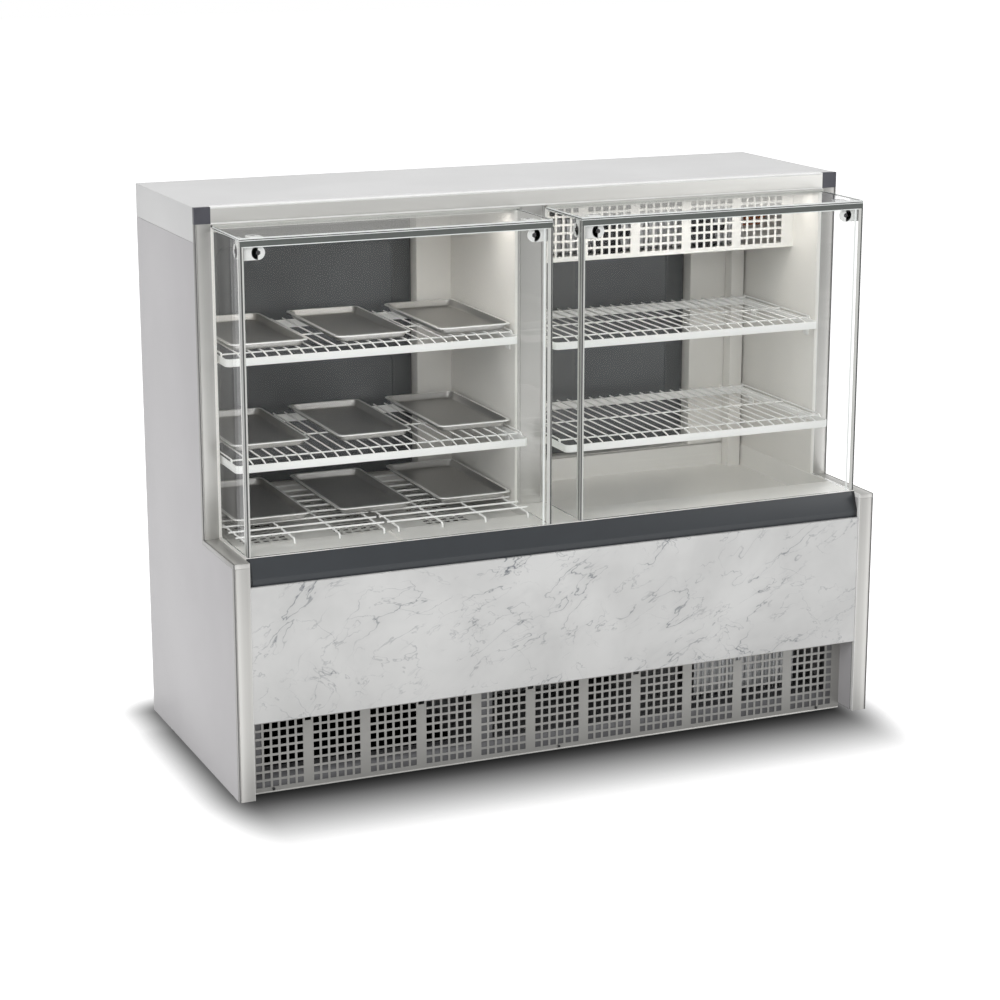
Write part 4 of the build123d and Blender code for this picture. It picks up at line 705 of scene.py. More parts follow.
def painted_faces(piece, name, test):
    """The faces that pass a test get one more finish; centres are in the drawing's mm."""
    piece.data.materials.append(FINISHES[name])
    number = len(piece.data.materials) - 1
    for face in piece.data.polygons:
        if test(in_drawing(face.center), face.normal):
            face.material_index = number
    return piece


def bent(points, radius, steps=4):
    """A line of points whose corners are rounded, all in mm."""
    route = [Vector(points[0])]
    for before, corner, after in zip(points, points[1:], points[2:]):
        corner = Vector(corner)
        into = (Vector(before) - corner).normalized()
        out = (Vector(after) - corner).normalized()
        start, end = corner + into * radius, corner + out * radius
        for step in range(steps + 1):
            share = step / steps
            route.append(start.lerp(corner, share).lerp(corner.lerp(end, share), share))
    return route + [Vector(points[-1])]


def wires(name, routes, radius, sides=2):
    """Round wires along routes, as one mesh; the radius is in metres."""
    curve = bpy.data.curves.new(name, "CURVE")
    curve.dimensions = "3D"
    curve.bevel_depth = radius
    curve.bevel_resolution = sides
    curve.use_fill_caps = True
    for route in routes:
        spline = curve.splines.new("POLY")
        spline.points.add(len(route) - 1)
        for point, place in zip(spline.points, route):
            point.co = (*at(*place), 1.0)
    piece = bpy.data.objects.new(name, curve)
    bpy.context.scene.collection.objects.link(piece)
    alone(piece)
    bpy.ops.object.convert(target="MESH")
    piece = bpy.context.active_object
    return smooth(piece, 50)


def screws(name, places, axis, radius=3.2):
    """Domed screw heads with a cross slot, looking along an axis."""
    heads = []
    look = Vector(axis)
    for place in places:
        place = Vector(place)
        head = rod(name, place, place + look * 1.8, radius, 16)
        softened(head, 0.8, 2)
        heads.append(head)
    return painted(joined(name, heads), "steel")


def given(piece, body, nodes=()):
    """The piece rides on its body and stands for its nodes, which are hidden."""
    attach(piece, body)
    if nodes:
        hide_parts(*nodes)
    return piece


def shown(name, pieces, finish_name, nodes=(), body="body"):
    """Pieces are joined, take one finish, ride on a body and stand for their nodes."""
    return given(painted(joined(name, pieces), finish_name), body, nodes)


def kept(node, name):
    """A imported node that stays, with a finish of its own."""
    return painted(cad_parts[node], name)


def refined(node, name, body="body", width=None, segments=2):
    """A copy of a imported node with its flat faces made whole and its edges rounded."""
    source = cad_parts[node]
    piece = source.copy()
    piece.data = source.data.copy()
    piece.parent = None
    for key in list(piece.keys()):
        if key.startswith("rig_"):
            del piece[key]
    bpy.context.scene.collection.objects.link(piece)
    piece.name = node + "_shown"
    edit(piece, "FACE", every)
    bpy.ops.mesh.remove_doubles(threshold=MERGED)
    bpy.ops.mesh.dissolve_limited(angle_limit=math.radians(1.0))
    done()
    softened(piece, width, segments)
    painted(piece, name)
    return given(piece, body, (node,))


class CaseOperator(bpy.types.Operator):
    """What all the operators share."""

    bl_options = {"REGISTER", "UNDO"}

    def execute(self, context):
        self.make(context.scene.case_sizes)
        return {"FINISHED"}


# Operators

class CASE_OT_stage(CaseOperator):
    """Camera, pale floor, soft lamps and white surroundings"""

    bl_idname = "case.stage"
    bl_label = "Stage"

    # The painted shadow on the floor under the object, and how far it fades, in metres
    SHADE_MIDDLE, SHADE_HALF = 0.0415, 0.8285
    SHADE_FRONT, SHADE_BACK = -0.151, 0.5
    SHADE_REACH = 0.6

    # The camera that the photograph's edges give
    LENS, SENSOR = 90.92, 36.0
    EYE = (-2.5710, -5.8734, 2.2754)
    TURN, DOWN = math.radians(23.405), math.radians(14.364)

    def make(self, sizes):
        scene = bpy.context.scene
        scene.view_settings.view_transform = "Standard"
        self.camera(scene)
        self.floor()
        self.surroundings(scene)
        self.lamp("key lamp", (-3.6, -4.0, 3.6), (0.0, 0.0, 0.7), 3.2, 88.0)
        self.lamp("right lamp", (4.6, -2.6, 3.2), (0.2, 0.0, 0.7), 2.6, 48.0)
        self.lamp("top lamp", (0.3, 1.4, 4.6), (0.0, -0.2, 0.0), 2.4, 34.0)

    def camera(self, scene):
        data = bpy.data.cameras.new("camera")
        data.sensor_width = self.SENSOR
        data.lens = self.LENS
        data.clip_end = 60.0
        camera = bpy.data.objects.new("camera", data)
        level = math.cos(self.DOWN)
        look = Vector((math.sin(self.TURN) * level, math.cos(self.TURN) * level, -math.sin(self.DOWN)))
        camera.location = self.EYE
        camera.rotation_euler = look.to_track_quat("-Z", "Y").to_euler()
        scene.collection.objects.link(camera)
        scene.camera = camera

    def floor(self):
        """A pale floor that is white in view, with a painted soft shadow under and close to the object."""
        cleared()
        bpy.ops.mesh.primitive_plane_add(size=60.0, location=(0, 0, 0))
        floor = bpy.context.active_object
        floor.name = "floor"
        material = bpy.data.materials.new("pale floor")
        material.use_nodes = True
        tree = Tree(material.node_tree)
        tint = tree.noise(tree.place(), 0.8, 2.0)
        x, y = tree.part("X"), tree.part("Y")
        aside = ((abs(x - self.SHADE_MIDDLE) - self.SHADE_HALF) * 2.9).most(0.0)
        before = (self.SHADE_FRONT - y).most(0.0)
        behind = ((y - self.SHADE_BACK) * 3.0).most(0.0)
        away = (aside * aside + before * before + behind * behind) ** 0.5
        # Painted shadow: the floor's colour and glow fade to black towards the object
        clear = away.between(0.0, self.SHADE_REACH)
        pale = tree.blend(full(shade(228, 228, 228)), full(shade(232, 232, 232)), tint)
        ground = tree.add("ShaderNodeBsdfDiffuse", {}, {"Color": tree.blend((0, 0, 0, 1), pale, clear)})
        seen = tree.path("Is Camera Ray").most(tree.path("Is Glossy Ray"))
        seen = seen.most(tree.path("Is Transmission Ray"))
        glow = tree.add("ShaderNodeEmission", {}, {"Color": (1, 1, 1, 1), "Strength": seen * clear * 0.8})
        both = tree.add("ShaderNodeAddShader", {}, {0: ground, 1: glow})
        tree.node("ShaderNodeOutputMaterial", {}, {"Surface": both})
        floor.data.materials.append(material)

    def surroundings(self, scene):
        world = bpy.data.worlds.new("white surroundings")
        world.use_nodes = True
        scene.world = world
        tree = Tree(world.node_tree)
        seen = tree.path("Is Camera Ray").most(tree.path("Is Transmission Ray"))
        strength = 0.6 + seen * 0.4 + tree.path("Is Glossy Ray") * 0.28
        sky = tree.add("ShaderNodeBackground", {}, {"Color": (1, 1, 1, 1), "Strength": strength})
        tree.node("ShaderNodeOutputWorld", {}, {"Surface": sky})

    def lamp(self, name, place, target, size, power):
        data = bpy.data.lights.new(name, "AREA")
        data.size = size
        data.energy = power
        lamp = bpy.data.objects.new(name, data)
        lamp.location = place
        lamp.rotation_euler = (Vector(target) - Vector(place)).to_track_quat("-Z", "Y").to_euler()
        bpy.context.scene.collection.objects.link(lamp)


class CASE_OT_body(CaseOperator):
    """Side panels, top cover and inner walls"""

    bl_idname = "case.body"
    bl_label = "Body panels"

    def make(self, sizes):
        for side, look in (("left", 1), ("right", -1)):
            panel = refined("side_panel_" + side, "side")
            def unlit(centre, normal):
                return normal.x * look > 0.9 and centre.z < BUMPER_LOW
            # Painted shade on the side panel's inner face below the bumper
            painted_faces(panel, "inside", unlit)
        refined("top_cover", "top", width=2.0, segments=3)
        refined("inner_liners", "liner", width=0.8)
        refined("centre_divider", "liner", width=0.8)
        refined("rear_wall", "liner", width=0.8)
        kept("insulated_floor", "liner")
        # Painted shade on the insulated floor's underside
        painted_faces(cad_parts["insulated_floor"], "inside", looking(z=-1))
        refined("pipe_duct", "liner", width=0.4)


class CASE_OT_profiles(CaseOperator):
    """Edge profiles, top front rail and corner caps"""

    bl_idname = "case.profiles"
    bl_label = "Edge profiles"

    def make(self, sizes):
        ledge_low = LEDGE - PROFILE_BACK
        front = self.grooved((0, 0, 0), (PROFILE, PROFILE_BACK, ledge_low), 5.0, (0, -1, 0), 2.5)
        ledge = self.grooved((0, 0, ledge_low), (PROFILE, UPPER_BACK, LEDGE), 5.0, (0, 0, 1), 2.5)
        upper = self.grooved((0, UPPER_FRONT, LEDGE), (PROFILE, UPPER_BACK, CAP_LOW), 6.0, (0, -1, 0), 3.0)
        left = [front, ledge, upper]
        right = [mirrored(piece) for piece in left]
        middle = block("profile", (839, UPPER_FRONT, 602), (911, UPPER_BACK, RAIL_LOW))
        for low, high in ((845, 846.6), (903.4, 905)):
            channel(middle, 0, low, high, (0, -1, 0), 1.6)
        softened(middle, 0.9, 2)
        # The satin profile finish carries painted light and shade across the faces and towards the top
        profiles = painted(joined("edge_profiles", left + right + [middle]), "profile")
        half = WIDTH / 2

        def on_lip(centre, normal):
            return half - PROFILE + 1.6 > abs(centre.x - half) > 40

        def on_return(centre, normal):
            return abs(centre.x - half) > half - 3.3 and normal.y < -0.5

        # Painted highlight on the inner edge strip of the side profiles
        painted_faces(profiles, "lip", on_lip)
        # Painted shade along the outer 3.3 mm of the profiles' front faces
        painted_faces(profiles, "shade line", on_return)
        given(profiles, "body", ("edge_trims",))
        self.rail()
        self.caps()

    def grooved(self, low, high, end, side, depth):
        """A profile with a groove near its outer edge."""
        return softened(channel(block("profile", low, high), 0, 3.2, end, side, depth), 0.9, 2)

    def rail(self):
        """The long rail over the glass, with a groove and a lip above and below, the lips painted as bright
        highlights.
        """
        rail = block("top_rail", (PROFILE, UPPER_FRONT, RAIL_LOW), (WIDTH - PROFILE, 270, RAIL_TOP))
        for low, high in ((1371.0, 1372.6), (1405.4, 1407.0)):
            channel(rail, 2, low, high, (0, -1, 0), 1.6)
        softened(rail, 1.2, 3)
        # Lengthwise profile finish, with its painted highlight towards the right
        painted(rail, "profile x")
        # Painted highlight on the rail's lips above and below the grooves
        painted_faces(rail, "lip", lambda centre, normal: normal.y < 0.5 and not 1372.5 < centre.z < 1405.5)
        given(rail, "body", ("top_front_rail",))

    def caps(self):
        cap = block("corner_caps", (0, UPPER_FRONT, CAP_LOW), (PROFILE, UPPER_BACK, RAIL_TOP))
        pushed(cap, looking(y=-1), (0, 0.5, 0), inset=3.0)
        softened(cap, 1.4, 3)
        tongue = softened(block("tongue", (24, 242.4, 1370.4), (55, UPPER_BACK, 1407.6)), 0.8)
        cap = joined("corner_caps", [cap, tongue])
        shown("corner_caps", [cap, mirrored(cap)], "cap", ("corner_caps",))


class CASE_OT_glass(CaseOperator):
    """Glass boxes with their connectors and seals"""

    bl_idname = "case.glass"
    bl_label = "Glass"

    def make(self, sizes):
        corners = []
        self.sockets = []
        for bay in BAYS:
            low, high = drawn("glass_" + bay)
            self.box(bay, low, high, sizes)
            corners.append(self.connector(low.x + PANE, high.z - PANE, 1))
            corners.append(self.connector(high.x - PANE, high.z - PANE, -1))
        # Connectors in the bright white finish that stands in for the plating's reflection
        shown("glass_corners", corners, "chrome", ("glass_connectors",))
        sockets = softened(joined("glass_corner_sockets", self.sockets), 0.3, 1)
        given(painted(sockets, "black"), "body")
        refined("glass_seals", "seal", width=0.8)

    def box(self, bay, low, high, sizes):
        """Four bonded panes with the look of their edges painted on: a dark band under the top and light and
        dark strips at the corners are painted reflections of the pane edges, and the white lines are painted
        highlights.
        """
        bond = high.z - PANE - 12.7
        rim = bond - 2.2
        left = (low.x, low.x + 1.7, low.x + 5, low.x + 9.2)
        right = (high.x - 25, high.x - 20, high.x - 14, high.x - 5, high.x - 1.5, high.x)
        line_low, line_high = high.z - 5.6, high.z - 3.4
        grey_end, strip_end = low.y + 11.6, low.y + 19.3

        front = block("pane", low, (high.x, low.y + PANE, high.z - PANE))
        cut(front, 2, (rim, bond))
        cut(front, 0, left[1:] + right[:-1])
        top = block("pane", (low.x, low.y, high.z - PANE), high)
        cut(top, 2, (line_low, line_high))
        side = block("pane", (low.x, low.y + PANE, low.z), (low.x + PANE, high.y, high.z - PANE))
        cut(side, 1, (grey_end, strip_end))
        panes = [front, top, side, copied(side, (high.x - low.x - PANE, 0, 0))]
        for pane in panes:
            modified(pane, "BEVEL", width=sizes.glass_edge, segments=1, limit_method="ANGLE")
            painted(pane, "glass")

        def strip(name, start, end):
            def inside(centre, normal):
                return normal.y < -0.9 and centre.z < bond and start < centre.x < end
            painted_faces(front, name, inside)

        # Opaque bands painted on the panes: dark and light painted reflections of the pane edges, and white
        # painted highlights on the rims
        painted_faces(front, "glass edge", lambda centre, normal: normal.y < -0.5 and centre.z > bond)
        painted_faces(front, "glass highlight", lambda centre, normal: normal.y < -0.9 and rim < centre.z < bond)
        for name, start, end in zip(("glass grey", "glass line", "glass strip"), left, left[1:]):
            strip(name, start, end)
        strip("glass highlight", right[0], right[1])
        for name, start, end in zip(("glass strip", "glass line", "glass strip"), right[2:], right[3:]):
            strip(name, start, end)
        painted_faces(front, "glass grey", lambda centre, normal: normal.x < -0.5)

        def outer(start, end):
            return lambda centre, normal: normal.x < -0.9 and start < centre.y < end

        # Painted reflections of the corner edge on the side pane's outer face
        painted_faces(side, "glass grey", outer(low.y, grey_end))
        painted_faces(side, "glass strip", outer(grey_end, strip_end))
        # White painted highlight on the top pane's edges, and a dark painted line along its front
        painted_faces(top, "glass highlight", lambda centre, normal: abs(normal.z) < 0.9)

        def on_line(centre, normal):
            return abs(normal.z) < 0.1 and line_low < centre.z < line_high

        painted_faces(top, "glass line", on_line)
        given(joined("glass_box_" + bay, panes), "body", ("glass_" + bay,))

    def connector(self, x, z, way):
        """Three plates with round ends that grip the panes at a corner, each with a socket screw."""
        y = 36.6
        reach, half, drop, thick = 39.0, 17.0, 29.0, 5.0
        boss, rise, socket_radius = 9.0, 2.5, 6.4
        cx, cy, cz = x + way * reach, y + reach, z - drop
        near, far = min(x, cx), max(x, cx)
        inner, outer = min(x, x + way * thick), max(x, x + way * thick)
        plates = [
            (block("plate", (near, y, cz - half), (far, y + thick, z)), (cx, y, cz), (0, 1, 0)),
            (block("plate", (inner, y, cz - half), (outer, cy, z)), (x, cy, cz), (way, 0, 0)),
            (block("plate", (cx - half, y, z - thick), (cx + half, cy, z)), (cx, cy, z), (0, 0, -1)),
        ]
        pieces = []
        for plate, place, look in plates:
            place, look = Vector(place), Vector(look)
            end = place + look * thick
            pieces.append(softened(plate, 0.8, 2))
            pieces.append(softened(rod("pad", place, end, half, 48), 0.8, 2))
            pieces.append(softened(rod("boss", end, place + look * (thick + rise), boss, 32), 0.6, 2))
            self.sockets.append(rod("socket", place - look * 0.12, place + look * 1.5, socket_radius, 6))
        return joined("connector", pieces)


class CASE_OT_lights(CaseOperator):
    """Light bars under the top rail"""

    bl_idname = "case.lights"
    bl_label = "Light bars"

    def make(self, sizes):
        holders, lenses = [], []
        for left, right in BAYS.values():
            x0, x1 = left + 12, right - 12
            holder = block("light_holder", (x0, 272, 1345), (x1, 294, 1361))
            pushed(holder, looking(z=-1), (0, 0, 3), inset=2.0)
            holders.append(softened(holder, 0.5, 2))
            lens = block("light_lens", (x0 + 2.5, 274.5, 1345.4), (x1 - 2.5, 291.5, 1348))
            lenses.append(softened(lens, 0.8, 2))
        for name, pieces, finish_name in (("holders", holders, "liner"), ("lenses", lenses, "led")):
            shown("light_" + name, pieces, finish_name, ("light_bars",))


class CASE_OT_sill(CaseOperator):
    """Sill plates, tubs and the bumper"""

    bl_idname = "case.sill"
    bl_label = "Sill and bumper"

    def make(self, sizes):
        refined("sill_plates", "stainless", width=0.5)
        refined("tub_warm", "stainless", width=0.5)
        kept("tub_cold", "stainless")
        self.bumper()

    def bumper(self):
        """A long rail with a low upright face, a fold and a slope up to the sill."""
        def shaped(low, high):
            piece = block("bumper_rail", (low, 11.5, BUMPER_LOW), (high, 30, 600))
            cut(piece, 2, (552,))
            top = at(0, 0, 598).z
            front = at(0, 13, 0).y
            edit(piece, "EDGE", lambda a, b: min(a.z, b.z) > top and max(a.y, b.y) < front)
            bpy.ops.transform.translate(value=(0, 16.5 * MM, 0))
            done()
            return softened(piece, 1.6, 3, 12)
        rail = painted(shaped(49.3, 1700.7), "bumper")
        given(rail, "body", ("bumper",))
        # Near-black pieces fill the gaps between the bumper and the side profiles: partly end caps, partly
        # painted shade of those gaps
        shown("bumper_ends", [shaped(41.2, 49), shaped(1701, 1708.8)], "bumper end")


class CASE_OT_front(CaseOperator):
    """Stone-look front panel"""

    bl_idname = "case.front"
    bl_label = "Front panel"

    def make(self, sizes):
        low, high = drawn("front_panel")
        panel = softened(block("stone_panel", low + Vector((0.6, 0, 0)), high - Vector((0.6, 0, 0))), 0.8, 2)
        given(painted(panel, "stone"), "body", ("front_panel",))


class CASE_OT_base(CaseOperator):
    """Base grille, frame and levelling feet"""

    bl_idname = "case.base"
    bl_label = "Base"

    def make(self, sizes):
        kept("base_grille", "grille")
        hem = softened(block("grille_hem", (41.5, GRILLE_FRONT, -12.6), (1708.5, 75.6, -8.6)), 1.2, 3)
        # The hem takes the lengthwise profile finish, with its painted highlight towards the right
        given(painted(hem, "profile x"), "body")
        places = [(x, GRILLE_FRONT, -3.6) for x in (110, 880, 1640)]
        given(painted(screws("grille_screws", places, (0, -1, 0), 3.8), "black"), "body")
        slots = []
        first, pitch, half = 202.25, 149.5, 7
        for number in (0, 2, 4, 5, 7, 9):
            middle = first + number * pitch
            slot = block("slot", (middle - half, 72.4, 186), (middle + half, 73.4, 191))
            slots.append(softened(slot, 0.3, 1))
        shown("grille_slots", slots, "black")
        refined("base_frame", "frame", width=1.2)
        for name in ("front_left", "front_right", "back_left", "back_right"):
            self.foot("foot_" + name)

    def foot(self, node):
        low, high = drawn(node)
        x, y = (low.x + high.x) / 2, (low.y + high.y) / 2
        pad = cone("pad", (x, y, low.z + 3), (x, y, low.z + 12), 21, 15)
        softened(pad, 1.2, 3)
        sole = softened(rod("sole", (x, y, low.z), (x, y, low.z + 4), 20.5, 32), 1.0, 2)
        nut = softened(rod("nut", (x, y, -8.5), (x, y, -0.5), 11, 6), 0.8, 2)
        stud = rod("stud", (x, y, low.z + 8), (x, y, high.z), 5.3, 20)
        turns = [low.z + 14 + step * 2.4 for step in range(12)]
        threads = [ring("thread", (x, y, turn), (0, 0, 1), 5.2, 0.75) for turn in turns]
        made = painted(joined(node + "_shown", [pad, nut, stud] + threads), "steel")
        given(smooth(made), node, (node,))
        given(painted(sole, "rubber"), node)
        sole.name = node + "_sole"


class CASE_OT_cooling(CaseOperator):
    """Evaporator with its pierced cover and fans"""

    bl_idname = "case.cooling"
    bl_label = "Evaporator"

    def make(self, sizes):
        kept("evaporator_cover", "cover")
        hem = softened(block("cover_hem", (921.8, 368.8, 1198.6), (1697.7, 373.5, 1203)), 1.4, 3)
        given(painted(hem, "cover"), "body")
        kept("evaporator_coil", "fins")
        refined("fan_motors", "dark metal", width=1.0)
        for node in ("evaporator_fan_left", "evaporator_fan_right"):
            refined(node, "black", node, width=0.4)


class CASE_OT_shelves(CaseOperator):
    """Wire shelves and their clips"""

    bl_idname = "case.shelves"
    bl_label = "Shelves"

    def make(self, sizes):
        levels = (("warm", 196, 640, 1049), ("warm", 136, 640, 800),
                  ("cold", 208, 618, 1022), ("cold", 140, 618, 770))
        bars, routes = [], []
        for bay, front, back, top in levels:
            left, right = BAYS[bay][0] + 8, BAYS[bay][1] - 8
            bars.append(self.bar(left, right, front, back, top))
            self.wires(routes, left, right, front, back, top)
        grid = wires("shelf_wires", routes, sizes.wire)
        shown("wire_shelves", bars + [grid], "wire", ("shelves",))
        refined("shelf_clips", "wire", width=0.5)

    def bar(self, left, right, front, back, top):
        """A flat bar bent round the shelf's front corners."""
        bar = block("bar", (left, front, top - 19), (right, back, top))
        near = at(0, front + 1, 0).y
        rounded_edges(bar, lambda a, b: max(a.y, b.y) < near and abs(a.z - b.z) > 0.01, 14, 6)
        edit(bar, "FACE", lambda centre, normal: abs(normal.z) > 0.9)
        bpy.ops.mesh.delete(type="FACE")
        done()
        modified(bar, "SOLIDIFY", thickness=0.003, offset=-1.0)
        return softened(bar, 0.7, 2)

    def wires(self, routes, left, right, front, back, top):
        pitch = 31
        count = int((right - left - 28) // pitch)
        first = (left + right - (count - 1) * pitch) / 2
        deck = top + 7
        for number in range(count):
            x = first + number * pitch
            routes.append(bent([(x, front + 1.5, top - 2.5), (x, front + 5, top + 0.5), (x, front + 38, deck),
                                (x, back - 1.5, deck)], 3.4, 3))
        for y in (front + 50, (front + back) / 2, back - 14):
            routes.append([(left + 1.5, y, deck - 3.6), (right - 1.5, y, deck - 3.6)])
        for side, way in ((left, 1), (right, -1)):
            x = side + way * 3
            route = [(side + way * 1.5, front + 40, top - 3), (x, front + 44, deck), (x, back - 2, deck)]
            routes.append(bent(route, 3, 3))


class CASE_OT_deck(CaseOperator):
    """Heated deck: pierced cover, elements and floor racks"""

    bl_idname = "case.deck"
    bl_label = "Heated deck"

    def make(self, sizes):
        kept("heater_cover", "stainless")
        refined("heater_elements", "element", width=0.3)
        routes = []
        for x0, x1 in ((58.0, 436.25), (444.25, 822.5)):
            self.rack(routes, x0, x1)
        grid = wires("rack_wires", routes, sizes.rack_wire)
        given(painted(grid, "wire"), "body", ("floor_racks",))

    def rack(self, routes, x0, x1):
        level = 619.5
        under = level - 4.4
        for number in range(9):
            y = 150 + number * 56
            routes.append([(x0, y, level), (x1, y, level)])
        span = x1 - x0 - 30
        for number in range(4):
            x = x0 + 15 + number * span / 3
            routes.append(bent([(x, 606, 584), (x, 606, under), (x, 108.5, under), (x, 108.5, 603)], 8, 4))


class CASE_OT_pans(CaseOperator):
    """Shallow pans on the heated side"""

    bl_idname = "case.pans"
    bl_label = "Pans"

    def make(self, sizes):
        centre = sum(BAYS["warm"]) / 2 + 12
        pitch, deck = 269, 622
        first = self.pan(centre - pitch, 439, deck)
        pans = [first]
        for seat in (deck, 809, 1058):
            for step in range(3):
                if seat != deck or step:
                    pans.append(copied(first, (step * pitch, 0, seat - deck)))
        given(joined("steel_pans", pans), "body", ("pans",))

    def pan(self, x, y, seat):
        """A tray pressed from one sheet: sloping walls, round corners and a rolled rim."""
        pan = block("pan", (x - 92, y - 192, seat + 0.6), (x + 92, y + 192, seat + 17))
        low = at(0, 0, seat + 2).z
        centre = at(x, y, seat)
        edit(pan, "FACE", looking(z=-1))
        bpy.ops.transform.resize(value=(0.93, 0.968, 1), center_override=centre)
        done()
        rounded_edges(pan, running(2, 0.01), 15, 5)
        rounded_edges(pan, lambda a, b: max(a.z, b.z) < low, 4, 3)
        edit(pan, "FACE", looking(z=1))
        bpy.ops.mesh.delete(type="FACE")
        bpy.ops.mesh.select_mode(type="EDGE")
        bpy.ops.mesh.select_all(action="SELECT")
        bpy.ops.mesh.region_to_loop()
        bpy.ops.mesh.extrude_edges_move()
        bpy.ops.transform.resize(value=(1.07, 1.034, 1), center_override=centre)
        bpy.ops.mesh.extrude_edges_move()
        bpy.ops.transform.translate(value=(0, 0, -2 * MM))
        bpy.ops.mesh.select_all(action="SELECT")
        bpy.ops.mesh.normals_make_consistent(inside=False)
        done()
        modified(pan, "SOLIDIFY", thickness=0.001, offset=0.0)
        painted(smooth(pan, 40), "pan")
        # Painted highlight on the rolled rim
        return painted_faces(pan, "pan rim highlight", lambda centre, normal: centre.z > seat + 14.6)


class CASE_OT_doors(CaseOperator):
    """Rear doors with liners, gaskets, grips and hinges"""

    bl_idname = "case.doors"
    bl_label = "Rear doors"

    def make(self, sizes):
        for bay in BAYS:
            body = "door_" + bay
            refined("door_shell_" + bay, "shell", body, 2.0, 3)
            refined("door_gasket_" + bay, "gasket", body, 1.2, 3)
            self.liner(bay, body)
            self.grip(bay, body)
        refined("hinge_brackets", "steel", width=0.6)

    def liner(self, bay, body):
        """A moulded liner with a rounded rim and two raised fields."""
        low, high = drawn("door_liner_" + bay)
        face = low.y + 3
        sheet = block("door_liner", (low.x, face, low.z), (high.x, high.y, high.z))
        rounded_edges(sheet, running(1), 22, 6)
        pieces = [softened(sheet, 1.5, 3)]
        middle = (low.z + high.z) / 2
        for z0, z1 in ((low.z + 45, middle - 14), (middle + 14, high.z - 45)):
            field = block("field", (low.x + 45, low.y, z0), (high.x - 45, face + 0.5, z1))
            rounded_edges(field, running(1), 26, 6)
            pushed(field, looking(y=-1), (0, 2.6, 0), inset=7.0)
            pieces.append(softened(field, 1.4, 3, 30))
        shown("liner_" + bay, pieces, "door", ("door_liner_" + bay,), body)

    def grip(self, bay, body):
        """A moulded cup that lines the pocket in the door's back."""
        low, high = drawn("door_shell_" + bay)
        x0 = high.x - 60 if bay == "warm" else low.x + 14
        middle = (low.z + high.z) / 2
        cup = block("grip_" + bay, (x0 - 4, 727, middle - 89), (x0 + 50, 751.5, middle + 89))
        rounded_edges(cup, running(1), 9, 5)
        pushed(cup, looking(y=1), (0, -22, 0), inset=6.0)
        softened(cup, 1.0, 2)
        given(painted(cup, "black"), body)


class CASE_OT_controls(CaseOperator):
    """Rear control panel with its knob, switches and controller"""

    bl_idname = "case.controls"
    bl_label = "Controls"

    def make(self, sizes):
        kept("control_panel", "sheet")
        kept("control_fittings", "black")
        self.knob()
        self.switch("heater_switch")
        self.switch("light_switch")
        self.controller()

    def knob(self):
        low, high = drawn("thermostat_knob")
        x, z = (low.x + high.x) / 2, (low.z + high.z) / 2
        skirt = softened(cone("skirt", (x, low.y, z), (x, low.y + 7, z), 19, 17.5, 48), 0.8, 2)
        grip = softened(block("grip", (x - 5, low.y + 5, z - 16.5), (x + 5, high.y, z + 16.5)), 1.6, 3)
        ribs = []
        for number in range(24):
            turn = math.radians(number * 15)
            px, pz = x + 18.2 * math.cos(turn), z + 18.2 * math.sin(turn)
            ribs.append(rod("rib", (px, low.y + 0.4, pz), (px, low.y + 5.5, pz), 0.9, 8))
        knob = painted(joined("knob", [skirt, grip] + ribs), "black")
        given(smooth(knob), "thermostat_knob", ("thermostat_knob",))
        line = block("knob_line", (x - 0.8, high.y - 0.3, z + 4), (x + 0.8, high.y + 0.25, z + 15.5))
        given(painted(softened(line, 0.2, 1), "mark"), "thermostat_knob")
        self.dial(x, z)

    def dial(self, x, z):
        """Ticks and numbers round the knob."""
        marks = []
        for number in range(7):
            turn = math.radians(90 + number * 45)
            way = Vector((-math.cos(turn), 0, math.sin(turn)))
            centre = Vector((x, 728.1, z))
            marks.append(rod("tick", centre + way * 20.6, centre + way * 22.4, 0.5, 6))
            cleared()
            bpy.ops.object.text_add(location=at(*(centre + way * 25.2)), rotation=(math.pi / 2, 0, math.pi))
            text = bpy.context.active_object
            text.data.body = str(number)
            text.data.size = 5.2 * MM
            text.data.align_x = "CENTER"
            text.data.align_y = "CENTER"
            text.data.extrude = 0.15 * MM
            bpy.ops.object.convert(target="MESH")
            marks.append(settled(bpy.context.active_object, "number"))
        shown("dial_marks", marks, "mark")

    def switch(self, node):
        piece = refined(node, "key", node, 0.6, 2)
        piece.name = node + "_key"

    def controller(self):
        z = 526.35
        window = softened(block("display", (1371.4, 732.6, z - 0.6), (1422.6, 733.4, z + 12.6)), 0.3, 2)
        given(painted(window, "display"), "body")
        near, far = 733.3, 733.6
        bars = []
        for place in (1402.5, 1391.5):
            for level in (8.2, 4.4, 0.6):
                foot = z + 1.2 + level
                bars.append(block("bar", (place - 2.1, near, foot), (place + 2.1, far, foot + 0.8)))
            for aside, level in ((2.6, 6.3), (-2.6, 6.3), (2.6, 2.5)):
                x, middle = place + aside, z + 1.6 + level
                bars.append(block("bar", (x - 0.4, near, middle - 1.5), (x + 0.4, far, middle + 1.5)))
        shown("display_digits", bars, "digit")
        for number in range(3):
            node = "controller_button_%d" % (number + 1)
            refined(node, "rubber", node, 0.3)


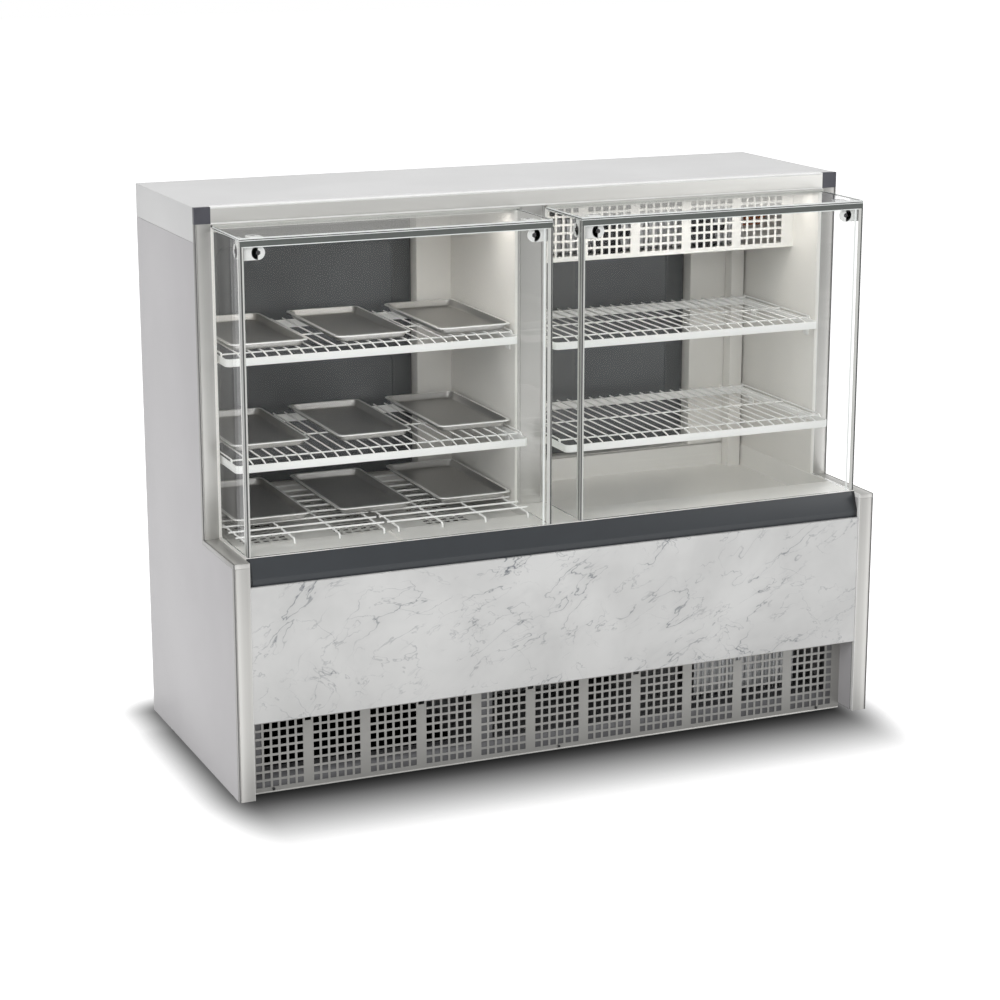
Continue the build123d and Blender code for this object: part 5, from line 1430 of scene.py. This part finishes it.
class CASE_OT_machine(CaseOperator):
    """Service panel, compressor, condenser, pipes and drain"""

    bl_idname = "case.machine"
    bl_label = "Machine space"

    def make(self, sizes):
        panel = refined("rear_service_panel", "sheet", width=0.2, segments=1)
        # Painted shade on the service panel's inner face
        painted_faces(panel, "inside", looking(y=-1))
        low, high = drawn("rear_service_panel")
        places = []
        for x in (low.x + 14, 458, 875, 1292, high.x - 14):
            for z in (low.z + 14, high.z - 14):
                places.append((x, high.y, z))
        given(screws("panel_screws", places, (0, 1, 0)), "body")
        refined("cable_gland", "black", width=0.8)
        self.compressor()
        kept("condenser", "fins")
        refined("condenser_fan", "black", "condenser_fan", 0.6)
        kept("pipes", "copper")
        refined("drain_parts", "drain", width=0.6)

    def compressor(self):
        low, high = drawn("compressor")
        x, y = (low.x + high.x) / 2, (low.y + high.y) / 2
        pot = rod("pot", (x, y, low.z + 16), (x, y, high.z), 82, 48)
        softened(pot, 30, 6)
        seam = ring("seam", (x, y, (low.z + high.z) / 2 + 12), (0, 0, 1), 82, 3.2)
        box = block("terminals", (x - 34, y - 96, low.z + 70), (x + 34, y - 70, low.z + 130))
        softened(box, 3, 3)
        plate = block("plate", (low.x, low.y + 21, low.z + 12), (high.x, high.y - 21, low.z + 16))
        softened(plate, 1, 2)
        pieces = [pot, seam, box, plate]
        for px in (low.x + 14, high.x - 14):
            for py in (y - 47, y + 47):
                pieces.append(softened(rod("rubber", (px, py, low.z), (px, py, low.z + 18), 9), 1.5, 2))
        shown("compressor_shown", pieces, "dark metal", ("compressor",))


OPERATORS = (CASE_OT_stage, CASE_OT_body, CASE_OT_profiles, CASE_OT_glass, CASE_OT_lights, CASE_OT_sill,
             CASE_OT_front, CASE_OT_base, CASE_OT_cooling, CASE_OT_shelves, CASE_OT_deck, CASE_OT_pans,
             CASE_OT_doors, CASE_OT_controls, CASE_OT_machine)


class CASE_PT_panel(bpy.types.Panel):
    """Lists the sizes, the colours and the operators"""

    bl_idname = "CASE_PT_panel"
    bl_label = "Display case"
    bl_space_type = "VIEW_3D"
    bl_region_type = "UI"
    bl_category = "Case"

    def draw(self, context):
        for group in (context.scene.case_sizes, context.scene.case_colours):
            box = self.layout.box()
            for name in group.__annotations__:
                box.prop(group, name)
        for operator in OPERATORS:
            self.layout.operator(operator.bl_idname)


CLASSES = (CaseSizes, CaseColours) + OPERATORS + (CASE_PT_panel,)


def register():
    for one in CLASSES:
        bpy.utils.register_class(one)
    bpy.types.Scene.case_sizes = bpy.props.PointerProperty(type=CaseSizes)
    bpy.types.Scene.case_colours = bpy.props.PointerProperty(type=CaseColours)


def unregister():
    del bpy.types.Scene.case_colours
    del bpy.types.Scene.case_sizes
    for one in reversed(CLASSES):
        bpy.utils.unregister_class(one)


def main():
    register()
    make_finishes()
    for operator in OPERATORS:
        group, name = operator.bl_idname.split(".")
        getattr(getattr(bpy.ops, group), name)()


if __name__ == "__main__":
    main()
